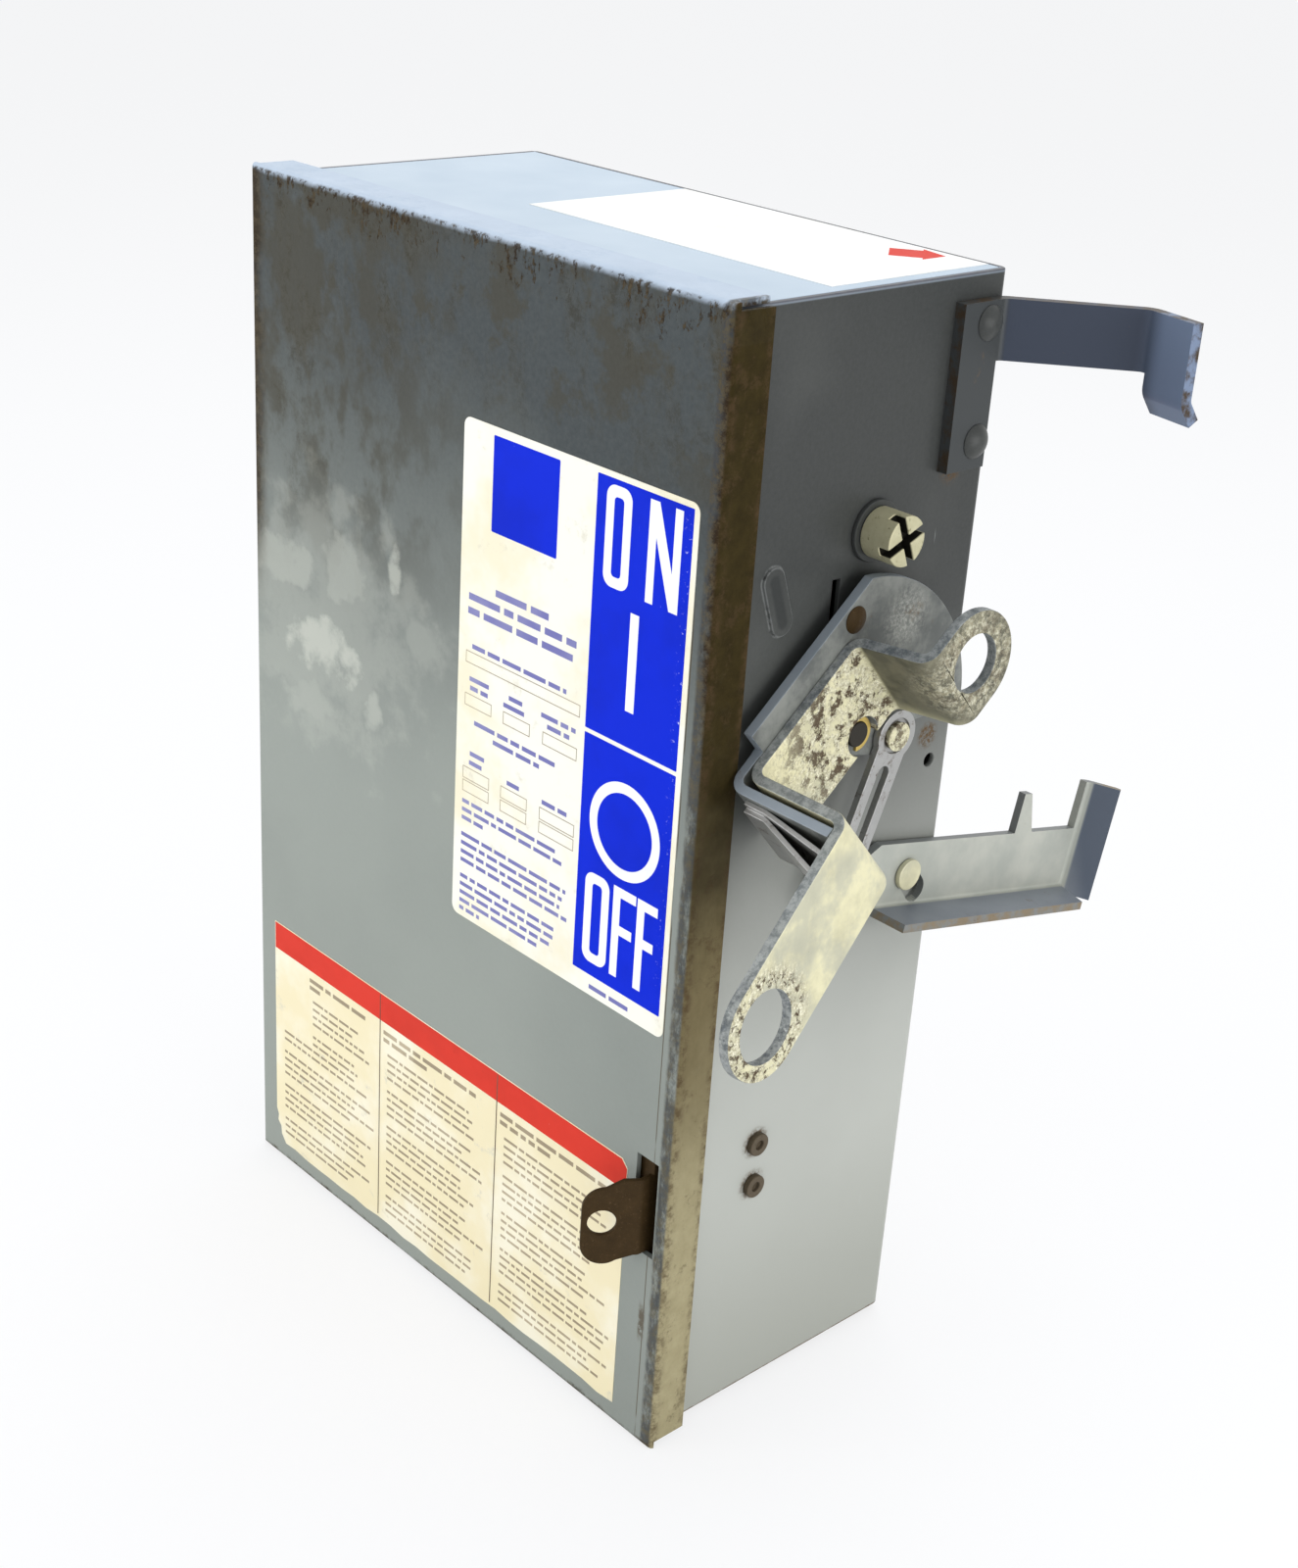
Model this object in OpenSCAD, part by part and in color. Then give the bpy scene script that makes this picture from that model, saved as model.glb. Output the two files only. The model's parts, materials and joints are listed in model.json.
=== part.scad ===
// Busway tap off box: a fused three pole switch in a sheet steel case that hangs on a busway.
// Origin: centre of the back face. +X right seen from the front, +Y to the back, +Z up.

/* [Enclosure] */
// Width of the case across its side walls
body_w = 215.8; // [206:0.1:250]
// Height of the case between its end plates
body_h = 370; // [356:1:430]
// Depth of the case from its back face to its open front edge
body_d = 113.5; // [111:0.5:150]
// Thickness of the case sheet
sheet_t = 1.9; // [1.4:0.1:2.4]
// Outside radius of the case bends
body_bend_r = 3; // [2.6:0.1:4]
// Width of the lips turned inwards along the open front
lip_w = 9; // [6:0.5:12]
// Depth of the flanges of the end plates
end_flange = 14; // [10:0.5:20]

/* [Cover] */
// Thickness of the cover sheet
cover_t = 1.9; // [1.4:0.1:2.4]
// Gap between the cover flange and each side wall
cover_side_gap = 2.5; // [1.5:0.1:3]
// Gap between the cover flange and each end plate
cover_end_gap = 0.6; // [0.4:0.1:2]
// Gap between the cover and the front edge of the case
cover_front_gap = 1; // [0.6:0.1:3]
// Depth of the cover with its flange
cover_depth = 15.3; // [12:0.1:18]
// Outside radius of the cover edges
cover_edge_r = 2.6; // [2.2:0.1:4]
// Size of the relief at each cover corner
corner_relief = 2.4; // [2:0.1:3]

/* [Cover hinge] */
// Radius of the hinge pins
hinge_pin_r = 1.6; // [1.2:0.1:1.8]
// Outside radius of the hinge knuckles
knuckle_r = 3.2; // [2.8:0.1:3.8]
// Length of one hinge knuckle
knuckle_h = 16; // [12:1:22]
// Thickness of the hinge leaves
leaf_t = 1.4; // [1:0.1:1.8]
// Width of the leaf on the case
leaf_w = 18; // [14:1:24]
// Height of each hinge above or below the middle
hinge_z = 118; // [90:1:130]

/* [Cover latch] */
// Width of the slot in the cover
latch_slot_w = 9.8; // [9:0.1:12]
// Height of the lower end of the slot above the cover's lower edge
latch_slot_z = 73.6; // [60:0.1:90]
// Distance of the slot from the outside of the cover flange
latch_slot_inset = 3.5; // [3:0.1:5]
// Thickness of the latch plate
latch_t = 1.8; // [1.4:0.1:2.2]
// Height of the padlock lug
lug_h = 28; // [24:0.5:29]
// How far the lug hangs below its root
lug_drop = 3; // [0:0.5:5]
// Padlock hole centre from the lug's end
lug_hole_edge = 6.5; // [6:0.1:9]
// Length of the padlock lug from its bend
lug_len = 18.2; // [16:0.1:24]
// Angle of the padlock lug from the cover face
lug_angle = 35; // [25:1:60]
// Radius of the padlock hole
padlock_r = 4.6; // [4:0.1:5.4]
// Travel of the latch
latch_travel = 6; // [5:0.5:9]

/* [Operating handle] */
// Distance of the handle axis in front of the back face
pivot_back = 56.5; // [54:0.5:60]
// Height of the handle axis above the middle of the case
pivot_up = 54.5; // [50:0.5:60]
// Angle of the handle above level, towards the back, when off
handle_tilt = 40.7; // [36:0.1:44]
// Width of the handle strap
strap_w = 32; // [28:0.5:34]
// Thickness of the handle strap
strap_t = 3.4; // [2.8:0.1:3.8]
// Inside radius of the strap bends
strap_bend_r = 2.4; // [2:0.1:4]
// Distance of the strap's middle line from the handle axis
strap_shift = 12; // [10:0.5:13]
// Length of the strap from the axis to its upper bend
strap_up = 15.5; // [14:0.1:18]
// Length of the strap from the axis to its lower bend
strap_down = 35; // [33:0.1:38]
// Height of the upper wing of the strap
wing_up_h = 26.2; // [22:0.2:32]
// Height of the lower wing of the strap
wing_down_h = 35.8; // [32:0.2:42]
// Distance from the upper bend to the upper eye
upper_eye_reach = 11.6; // [10.5:0.1:16]
// Radius of the upper eye hole
upper_eye_r = 9; // [7:0.1:11]
// Distance from the lower bend to the lower eye
lower_eye_reach = 57.9; // [44:0.1:70]
// Radius of the lower eye hole
lower_eye_r = 10.9; // [8:0.1:12]
// Lean of the lower arm away from the case
arm_lean = 7; // [3:0.5:9]

/* [Rotor] */
// Thickness of the rotor plate
rotor_t = 3.6; // [3:0.1:4]
// Radius of the rotor plate
rotor_r = 48.3; // [46:0.1:52]
// Distance of the rotor's straight edge from the axis
rotor_edge = 36; // [34:0.5:38]
// Distance of the rotor flange from the axis
rotor_down = 39.8; // [39:0.1:44]
// Height of the rotor flange
rotor_flange_h = 38; // [30:0.5:40]
// Thickness of the two leaf springs under the flange
spring_leaf_t = 1.5; // [1:0.1:2]

/* [Interlock link] */
// Distance of the link stud from the handle axis
stud_arm = 16.8; // [16:0.1:18]
// Direction of the link stud from the axis, below level
stud_drop = 13.8; // [11:0.1:16]
// Radius of the link stud
stud_r = 4.1; // [3.4:0.1:4.4]
// Outside radius of the link eye
link_eye_r = 8.2; // [7.4:0.1:9]
// Thickness of the link
link_t = 2.4; // [1.8:0.1:3]
// Width of the link
link_w = 13; // [12:0.1:15]
// Width of the long slot in the link
link_slot_w = 5; // [4:0.1:5.6]

/* [Hanger latch lever] */
// Distance of the lever pin in front of the back face
lever_back = 19.3; // [18:0.1:22]
// Distance of the lever pin below the middle of the case
lever_drop = 5; // [3:0.1:8]
// Slope of the lever, down towards the back
lever_slope = 12.5; // [11:0.1:14]
// Thickness of the lever
lever_t = 2.8; // [2.2:0.1:3]
// Gap between the lever and the side wall
lever_gap = 1.3; // [1:0.1:1.6]
// Radius of the lever pin
lever_pin_r = 4.4; // [3.8:0.1:4.8]
// Length of the lever from its pin to the end bend
lever_len = 90.5; // [84:0.5:98]
// Length of the lever from its pin to the link stud
lever_front = 38; // [36:0.1:40]
// Height of the lever above its pin
lever_up = 10.5; // [9:0.1:12]
// Depth of the lever below its pin
lever_down = 13.3; // [12:0.1:15]
// Width of the lever's bottom flange
lever_flange = 15; // [11:0.2:18]
// Height of the spike above the lever's upper edge
spike_h = 14; // [8:0.5:18]
// Height of the end panel
panel_h = 40.8; // [34:0.2:46]
// Length of the end panel
panel_len = 12; // [9:0.2:15]
// Angle of the end panel from the lever
panel_angle = 57; // [45:1:65]

/* [Hanger hook] */
// Thickness of the hanger hook
hook_t = 3.8; // [3:0.1:4]
// Width of the hook plate on the side wall
hook_plate_w = 18.5; // [17:0.5:22]
// Height of the hook plate
hook_plate_h = 50.1; // [44:0.1:56]
// Height of the hook arm
hook_arm_h = 18.2; // [14:0.1:22]
// Length of the hook arm
hook_arm_len = 43.4; // [38:0.1:50]
// Angle of the hook arm away from the side wall
hook_arm_angle = 47.5; // [44:0.5:52]
// Length of the hook's end panel
hook_end_len = 19; // [15:0.5:22]
// Height of the hook's end panel above its curled lip
hook_end_h = 23.5; // [20:0.5:28]
// Distance of the top of the hook below the top of the case
hook_drop = 7.7; // [5:0.1:12]
// Distance of the hook's bend in front of the back face
hook_inset = 3.9; // [3:0.1:5]
// Radius of the hook rivet heads
hook_rivet_r = 5.5; // [4:0.1:6]

/* [Release screw] */
// Radius of the cross slotted barrel
barrel_r = 7.7; // [6:0.1:8.4]
// Length of the barrel outside the wall
barrel_len = 13; // [10:0.5:15]
// Distance of the barrel above the handle axis
barrel_up = 59.2; // [58:0.1:62]
// Distance of the barrel behind the handle axis
barrel_back = 8.5; // [6:0.1:10]
// Width of the cross slots
cross_slot_w = 2.8; // [2:0.1:3.2]

/* [Switch] */
// Distance between the poles
pole_pitch = 58; // [56:0.5:62]
// Thickness of the insulating bases
base_t = 14; // [11:0.5:15]
// Radius of the operating shaft
shaft_r = 7.94; // [7:0.01:8.2]
// Outside radius of the insulating crossbar
crossbar_r = 11; // [10.4:0.1:11.4]
// Radius of the blade ring round the crossbar
blade_ring_r = 18; // [17:0.1:19]
// Distance from the handle axis to the tip of a blade
blade_reach = 46; // [43:0.5:47]
// Width of a blade
blade_w = 13; // [11:0.5:14]
// Thickness of a blade
blade_t = 3; // [2:0.1:3.4]
// Direction of the blades above level, towards the back, when on
blade_on = 75; // [72:1:78]
// Throw of the handle between off and on
handle_throw = 81; // [75:1:84]
// Thickness of the barriers between the poles
barrier_t = 2.4; // [1.6:0.1:3]

/* [Fuses] */
// Radius of the fuse tube
fuse_r = 13; // [12:0.1:13.2]
// Length of a fuse over its ferrules
fuse_len = 140; // [130:1:144]
// Length of a fuse ferrule
ferrule_h = 16; // [13:0.5:18]
// Wall of a fuse ferrule
ferrule_t = 0.6; // [0.4:0.1:0.8]
// Thickness of the fuse clips
clip_t = 1.3; // [1:0.1:1.6]
// Distance of the fuse axis in front of the bases
fuse_forward = 32; // [30:0.5:36]

/* [Plug-in contacts] */
// Distance between the bus bars that the contacts grip
bus_pitch = 28; // [26:0.5:30]
// Height of the lowest phase contact above the middle of the case
bus_low = 72; // [70:0.5:74]
// Reach of the contacts behind the back face
jaw_reach = 34; // [30:0.5:38]
// Width of a contact
jaw_w = 24; // [20:0.5:26]
// Gap between the fingers of a contact
jaw_gap = 3.4; // [2.6:0.1:3.8]
// Depth of the plug-in base behind the back face
plug_base_d = 22; // [18:0.5:24]

/* [Wiring] */
// Radius of the conduit hole in the lower end plate
conduit_r = 17.45; // [14:0.05:18]
// Radius of the wire hole in each load lug
lug_bore_r = 4.6; // [3:0.1:5]
// Width of each load lug
load_lug_w = 16; // [14:0.5:18]
// Distance of the two ground screws in front of the back face
ground_back = 73.8; // [70:0.1:80]
// Distance of the upper ground screw below the middle of the case
ground_drop = 87.4; // [84:0.1:92]
// Distance between the ground screws
ground_pitch = 16; // [14:0.1:20]
// Radius of the ground screw heads
ground_head_r = 3.95; // [3.4:0.05:4.6]

/* [Hidden] */
$fn = 48;

run_gap = 0.06;       // radial clearance of a running fit
seam = 0.3;           // how far the legs of a bent sheet run past its corner
blend = 0.001;        // how far a bend's arc runs past the flat faces that it joins
part_gap = 0.4;       // clearance between pieces that move past each other
cut = 1;              // how far a cutter runs past a face

wall_x = body_w / 2;
inner_x = wall_x - sheet_t;
inner_y = -sheet_t;
cover_x = wall_x + cover_side_gap + cover_t;
cover_z = body_h / 2 + cover_end_gap + cover_t;
cover_front = -(body_d + cover_front_gap + cover_t);
cover_inner = cover_front + cover_t;
cover_proud = cover_side_gap + cover_t;

grey = [0.44, 0.48, 0.50];
zinc = [0.76, 0.72, 0.55];
steel = [0.62, 0.63, 0.64];
brass = [0.75, 0.66, 0.36];
copper = [0.78, 0.48, 0.32];
black_mould = [0.10, 0.10, 0.11];
red_mould = [0.45, 0.14, 0.11];
dark_steel = [0.20, 0.15, 0.11];

// Axis helpers: a cylinder from one coordinate to another along X or Y.
module along_x(x0, x1, r) {
    translate([x0, 0, 0])
        rotate([0, 90, 0])
            cylinder(r = r, h = x1 - x0);
}

module along_y(y0, y1, r) {
    translate([0, y0, 0])
        rotate([-90, 0, 0])
            cylinder(r = r, h = y1 - y0);
}

module block(x0, x1, y0, y1, z0, z1) {
    translate([x0, y0, z0])
        cube([x1 - x0, y1 - y0, z1 - z0]);
}

// Rectangle with round corners, made of exact arcs.
module round_rect(x0, x1, y0, y1, r) {
    translate([x0 + r, y0])
        square([x1 - x0 - 2 * r, y1 - y0]);
    translate([x0, y0 + r])
        square([x1 - x0, y1 - y0 - 2 * r]);
    for (x = [x0 + r, x1 - r])
        for (y = [y0 + r, y1 - r])
            translate([x, y])
                circle(r = r);
}

// Long hole with round ends, from one point to another.
module capsule(a, b, r) {
    d = b - a;
    len = norm(d);
    translate(a)
        circle(r = r);
    translate(b)
        circle(r = r);
    translate(a)
        rotate(atan2(d[1], d[0]))
            translate([0, blend - r])
                square([len, 2 * (r - blend)]);
}

// Section of a bent strip: a centre line of points, a thickness and an inside bend radius.
function turn(a, b, c) = let(u = b - a, v = c - b) atan2(u[0] * v[1] - u[1] * v[0], u * v);
function corner_reach(p, i, t) =
    (i == 0 || i == len(p) - 1) ? 0 : t / 2 * tan(abs(turn(p[i - 1], p[i], p[i + 1])) / 2) + seam;

module bent_strip(p, t, bend_r) {
    difference() {
        union() {
            for (i = [0 : len(p) - 2]) {
                d = p[i + 1] - p[i];
                start = corner_reach(p, i, t);
                translate(p[i])
                    rotate(atan2(d[1], d[0]))
                        translate([-start, -t / 2])
                            square([start + norm(d) + corner_reach(p, i + 1, t), t]);
            }
            at_bends(p, t, bend_r)
                inside_of_bend(t, bend_r);
        }
        at_bends(p, t, bend_r)
            outside_of_bend(t, bend_r);
    }
}

// Puts a piece at each bend, with the first leg along +X and the turn to the left.
module at_bends(p, t, bend_r) {
    for (i = [1 : len(p) - 2]) {
        d = p[i] - p[i - 1];
        $bend = abs(turn(p[i - 1], p[i], p[i + 1]));
        translate(p[i])
            rotate(atan2(d[1], d[0]))
                mirror([0, turn(p[i - 1], p[i], p[i + 1]) > 0 ? 0 : 1, 0])
                    translate([-(bend_r + t / 2) * tan($bend / 2), bend_r + t / 2])
                        children();
    }
}

module inside_of_bend(t, bend_r) {
    mid_r = bend_r + t / 2;
    difference() {
        polygon([[0, 0], [0, -mid_r], mid_r * [tan($bend / 2), -1], mid_r * [sin($bend), -cos($bend)]]);
        circle(r = bend_r + blend);
    }
}

module outside_of_bend(t, bend_r) {
    far_r = bend_r + t + 2;
    difference() {
        polygon([[0, 0], [0, -far_r], far_r * [tan($bend / 2), -1], far_r * [sin($bend), -cos($bend)]]);
        circle(r = bend_r + t + blend);
    }
}

// Flat wedge from an angle through a turn, with its corner at the origin.
module wedge(from, through, len) {
    polygon(concat([[0, 0]], [for (k = [0 : 2]) len * [cos(from + through * k / 2), sin(from + through * k / 2)]]));
}

// Moves a section drawn in X and Y to stand upright between two heights.
module upright(z0, z1) {
    translate([0, 0, z0])
        linear_extrude(z1 - z0)
            children();
}

// Moves a flat outline drawn in Y and Z to a sheet between two values of X.
module sheet_x(x0, x1) {
    translate([x0, 0, 0])
        rotate([90, 0, 90])
            linear_extrude(x1 - x0)
                children();
}

// Dome of a rivet head that stands on a face at X = 0.
module dome_x(r, h) {
    ball_r = (r * r + h * h) / (2 * h);
    rotate([0, 90, 0])
        rotate_extrude()
            intersection() {
                translate([0, h - ball_r])
                    circle(r = ball_r);
                square([r, h]);
            }
}

// ---- Places on the right side wall ----
pivot_y = -pivot_back;
rotor_off = cover_proud + 0.5;
strap_off = rotor_off + rotor_t;
link_off = strap_off + part_gap;
stud_y = pivot_y + stud_arm * cos(stud_drop);
stud_z = pivot_up - stud_arm * sin(stud_drop);
barrel_y = pivot_y + barrel_back;
barrel_z = pivot_up + barrel_up;
release_shaft_r = 5;
bush_r = shaft_r + 2.6;
lever_pin_shank_r = 3.2;
hook_top = body_h / 2 - hook_drop;
hook_rivet_shank_r = 3.2;
hook_tail_r = hook_rivet_shank_r + 1.4;
hook_tail_t = 1.6;
hook_rivet_y = -hook_inset - hook_plate_w * 0.37;
hook_rivet_z = [hook_top - 6.5, hook_top - hook_plate_h + 8.3];
ground_z = [-ground_drop, -ground_drop - ground_pitch];
ground_shank_r = 2.6;
stop_slot_w = 3.3;
stop_slot_h = 17;
stop_slot_y = pivot_y - 5.2;
stop_slot_z = pivot_up + 38;
vent_r = 2.3;
vent_y = -9.4;
vent_z = 30.6;

module at_handle() {
    translate([wall_x, pivot_y, pivot_up])
        rotate([handle_tilt, 0, 0])
            children();
}

module at_lever() {
    translate([wall_x, -lever_back, -lever_drop])
        rotate([-lever_slope, 0, 0])
            children();
}

module at_hook_rivets() {
    for (z = hook_rivet_z)
        translate([wall_x, hook_rivet_y, z])
            children();
}

// ---- Places of the poles and plug-in contacts ----
pole_x = [-pole_pitch, 0, pole_pitch];
bus_z = [bus_low + 2 * bus_pitch, bus_low + bus_pitch, bus_low];
base_front = inner_y - base_t;
base_half_w = 1.5 * pole_pitch + 1;
switch_base_z0 = pivot_up - 30.5;
switch_base_z1 = bus_low + 2 * bus_pitch + 20;
fuse_top = switch_base_z0 - 6;
fuse_low = fuse_top - fuse_len;
fuse_base_z1 = switch_base_z0 - 4;
fuse_base_z0 = fuse_low - 28;
screw_x = base_half_w - 8;
base_screw_r = 2.2;
plug_stud_r = 4;
stud_nut_r = 5.6;
stud_nut_h = 3.2;
boss_r = 9;

module at_base_screws() {
    for (x = [-screw_x, screw_x])
        for (z = [switch_base_z0 + 6, switch_base_z1 - 6, fuse_base_z0 + 6, fuse_base_z1 - 6])
            translate([x, 0, z])
                children();
}

module at_plug_studs() {
    for (i = [0 : 2])
        translate([pole_x[i], 0, bus_z[i]])
            children();
}

// ---- Places of the cover latch ----
slot_x1 = cover_x - latch_slot_inset - 1;
slot_x0 = slot_x1 - latch_slot_w;
slot_z0 = -cover_z + latch_slot_z;
lug_z0 = slot_z0 + 0.5;
lug_z1 = lug_z0 + lug_h;
slot_z1 = lug_z1 + latch_travel + 0.5;
tongue_x = slot_x0 + latch_slot_w / 2;
slide_w = 14;
slide_extra = 6;
slide_front = cover_inner + part_gap;

// ---- Case ----
module case_shell() {
    color(grey)
        difference() {
            union() {
                upright(-body_h / 2, body_h / 2)
                    case_section();
                side_emboss();
            }
            side_wall_holes();
            back_wall_holes();
            lip_cut_out();
        }
}

module case_section() {
    difference() {
        round_rect(-wall_x, wall_x, -body_d, 0, body_bend_r);
        round_rect(-inner_x, inner_x, -body_d + sheet_t, inner_y, body_bend_r - sheet_t);
        translate([-wall_x + lip_w, -body_d - cut])
            square([body_w - 2 * lip_w, sheet_t + 2 * cut]);
    }
}

// Oblong pressed out of the side wall in front of the handle.
module side_emboss() {
    translate([wall_x - sheet_t / 2, pivot_y - 29.9, pivot_up + 44.6])
        rotate([19.4, 0, 0])
            sheet_x(0, sheet_t / 2 + 1)
                capsule([0, -7], [0, 7], 4.2);
}

module side_wall_holes() {
    translate([0, pivot_y, pivot_up])
        along_x(inner_x - cut, wall_x + cut, bush_r);
    translate([0, -lever_back, -lever_drop])
        along_x(inner_x - cut, wall_x + cut, lever_pin_shank_r);
    translate([0, barrel_y, barrel_z])
        along_x(inner_x - cut, wall_x + cut, release_shaft_r + run_gap);
    at_hook_rivets()
        along_x(-sheet_t - cut, cut, hook_rivet_shank_r);
    for (z = ground_z)
        translate([0, -ground_back, z])
            along_x(inner_x - cut, wall_x + cut, ground_shank_r);
    translate([0, vent_y, vent_z])
        along_x(inner_x - cut, wall_x + cut, vent_r);
    block(inner_x - cut, wall_x + cut, stop_slot_y - stop_slot_w / 2, stop_slot_y + stop_slot_w / 2,
        stop_slot_z - stop_slot_h / 2, stop_slot_z + stop_slot_h / 2);
}

module back_wall_holes() {
    at_plug_studs()
        along_y(inner_y - cut, cut, boss_r);
    at_base_screws()
        along_y(inner_y - cut, cut, base_screw_r);
}

// Gap in the front lip that the cover latch reaches through.
module lip_cut_out() {
    block(wall_x - lip_w - cut, inner_x, -body_d - cut, -body_d + sheet_t + cut,
        lug_z0 - slide_extra - 3, lug_z1 + slide_extra + latch_travel + 3);
}

module end_plate(z0, z1, flange_z0, flange_z1) {
    corner_r = max(body_bend_r - sheet_t, 1.2);
    upright(z0, z1)
        round_rect(-inner_x, inner_x, -body_d + sheet_t, inner_y, corner_r);
    upright(flange_z0, flange_z1)
        difference() {
            round_rect(-inner_x, inner_x, -body_d + sheet_t, inner_y, corner_r);
            translate([-inner_x + sheet_t, -body_d + 2 * sheet_t])
                square([2 * (inner_x - sheet_t), body_d - 4 * sheet_t]);
        }
}

module top_end_plate() {
    color(grey)
        difference() {
            end_plate(body_h / 2 - sheet_t, body_h / 2, body_h / 2 - end_flange, body_h / 2 - sheet_t);
            at_hook_rivets()
                along_x(-sheet_t - hook_tail_t - cut, 0, hook_tail_r + part_gap);
        }
}

module bottom_end_plate() {
    conduit_y = -body_d / 2;
    ring_r = conduit_r + 5;
    color(grey)
        difference() {
            end_plate(-body_h / 2, -body_h / 2 + sheet_t, -body_h / 2 + sheet_t, -body_h / 2 + end_flange);
            translate([0, conduit_y, -body_h / 2 - cut])
                cylinder(r = conduit_r, h = sheet_t + 2 * cut);
            translate([0, conduit_y, -body_h / 2 - cut])
                difference() {
                    cylinder(r = ring_r, h = cut + sheet_t / 3);
                    cylinder(r = ring_r - 0.8, h = cut + sheet_t / 3);
                }
        }
}

// ---- Cover and its hinge ----
module cover() {
    color(grey)
        difference() {
            cover_block(0, cover_depth, cover_edge_r);
            cover_block(cover_t, cover_depth + cut, cover_edge_r - cover_t);
            cover_corner_reliefs();
            block(slot_x0, slot_x1, cover_front - cut, cover_inner + cut, slot_z0, slot_z1);
        }
}

// Solid of the cover, taken in by a wall, with its long and short front edges rounded.
module cover_block(wall, depth, r) {
    far = cover_front + 3 * depth;
    intersection() {
        upright(-cover_z + wall, cover_z - wall)
            round_rect(-cover_x + wall, cover_x - wall, cover_front + wall, far, r);
        sheet_x(-cover_x, cover_x)
            round_rect(cover_front + wall, far, -cover_z + wall, cover_z - wall, r);
        block(-cover_x, cover_x, cover_front, cover_front + depth, -cover_z, cover_z);
    }
}

module cover_corner_reliefs() {
    for (side = [-1, 1])
        for (end = [-1, 1])
            translate([side * cover_x, cover_front + cover_depth / 2 + cover_edge_r, end * cover_z])
                cube([2 * corner_relief, cover_depth, 2 * corner_relief], center = true);
}

hinge_x = -(cover_x + knuckle_r);
hinge_y = cover_front + cover_depth + 3;
knuckle_gap = 0.3;

module at_hinges() {
    for (z = [-hinge_z, hinge_z])
        translate([hinge_x, hinge_y, z])
            children();
}

// Section of a knuckle with its leaf. The hinge axis is at the origin.
module case_leaf_section() {
    leaf_x = -wall_x - leaf_t / 2 - hinge_x;
    leaf_y = knuckle_r - leaf_t / 2;
    difference() {
        union() {
            circle(r = knuckle_r);
            bent_strip([[0, leaf_y], [leaf_x, leaf_y], [leaf_x, leaf_y + leaf_w]], leaf_t, 0.8);
        }
        circle(r = hinge_pin_r + run_gap);
    }
}

module cover_leaf_section() {
    difference() {
        union() {
            circle(r = knuckle_r);
            translate([knuckle_r - leaf_t, -cover_depth])
                square([leaf_t, cover_depth]);
        }
        circle(r = hinge_pin_r + run_gap);
    }
}

module case_hinge_leaves() {
    leaf_x = -wall_x - leaf_t - hinge_x;
    color(grey)
        at_hinges() {
            for (z = [-1.5, 0.5])
                upright(z * knuckle_h, (z + 1) * knuckle_h)
                    case_leaf_section();
            upright(-0.5 * knuckle_h, 0.5 * knuckle_h)
                translate([leaf_x, knuckle_r + 2])
                    square([leaf_t, leaf_w - 2 - leaf_t / 2]);
        }
}

module cover_hinge_leaves() {
    color(grey)
        at_hinges()
            upright(-0.5 * knuckle_h + knuckle_gap, 0.5 * knuckle_h - knuckle_gap)
                cover_leaf_section();
}

module hinge_pins() {
    head_h = 1;
    color(steel)
        at_hinges() {
            upright(-1.5 * knuckle_h, 1.5 * knuckle_h)
                circle(r = hinge_pin_r);
            for (z = [-1.5 * knuckle_h - head_h, 1.5 * knuckle_h])
                upright(z, z + head_h)
                    circle(r = knuckle_r - 0.6);
        }
}

// ---- Cover latch with its padlock lug ----
lug_root_y = cover_front - 2.2;
lug_mid_z = (lug_z0 + lug_z1) / 2 - lug_drop / 2;
lug_flat = 1.2;

module cover_latch() {
    tongue_back = slide_front + 6;
    color(dark_steel)
        difference() {
            union() {
                upright(lug_z0, lug_z1)
                    bent_strip([[tongue_x, tongue_back], [tongue_x, lug_root_y],
                        [tongue_x - 2 * lug_flat * sin(lug_angle), lug_root_y - 2 * lug_flat * cos(lug_angle)]],
                        latch_t, 1);
                upright(lug_z0 - slide_extra, lug_z1 + slide_extra)
                    translate([tongue_x - slide_w, slide_front])
                        square([slide_w + latch_t / 2, latch_t]);
                on_lug()
                    lug_outline();
            }
            on_lug()
                translate([lug_len - lug_hole_edge, 0])
                    circle(r = padlock_r);
        }
}

// Stands a flat outline up as the lug: +X runs along the lug from its root, +Y is up.
module on_lug() {
    translate([tongue_x, lug_root_y, lug_mid_z])
        rotate([0, 0, -90 - lug_angle])
            rotate([90, 0, 0])
                translate([0, 0, -latch_t / 2])
                    linear_extrude(latch_t)
                        children();
}

// The lug widens from its root and hangs a little below it, and its outer corners are round.
module lug_outline() {
    corner_r = lug_h * 0.26;
    top = lug_h / 2 + lug_drop / 2;
    low = -lug_h / 2 - lug_drop / 2;
    polygon([[lug_flat, -lug_h / 2 + lug_drop / 2], [lug_len - corner_r, low], [lug_len, low + corner_r],
        [lug_len, top - lug_drop - corner_r], [lug_len - corner_r, top - lug_drop],
        [lug_len * 0.3, top], [lug_flat, lug_h / 2 + lug_drop / 2]]);
    for (y = [low + corner_r, top - lug_drop - corner_r])
        translate([lug_len - corner_r, y])
            circle(r = corner_r);
}

// Clip on the inside of the cover that the latch slides behind.
module latch_guide() {
    guide_x = tongue_x - slide_w - part_gap - leaf_t / 2;
    over_y = slide_front + latch_t + part_gap + leaf_t / 2;
    color(steel)
        upright(lug_z0, lug_z1)
            bent_strip([[guide_x - 9, cover_inner + leaf_t / 2], [guide_x, cover_inner + leaf_t / 2],
                [guide_x, over_y], [guide_x + 6, over_y]], leaf_t, 0.2);
}

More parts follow.
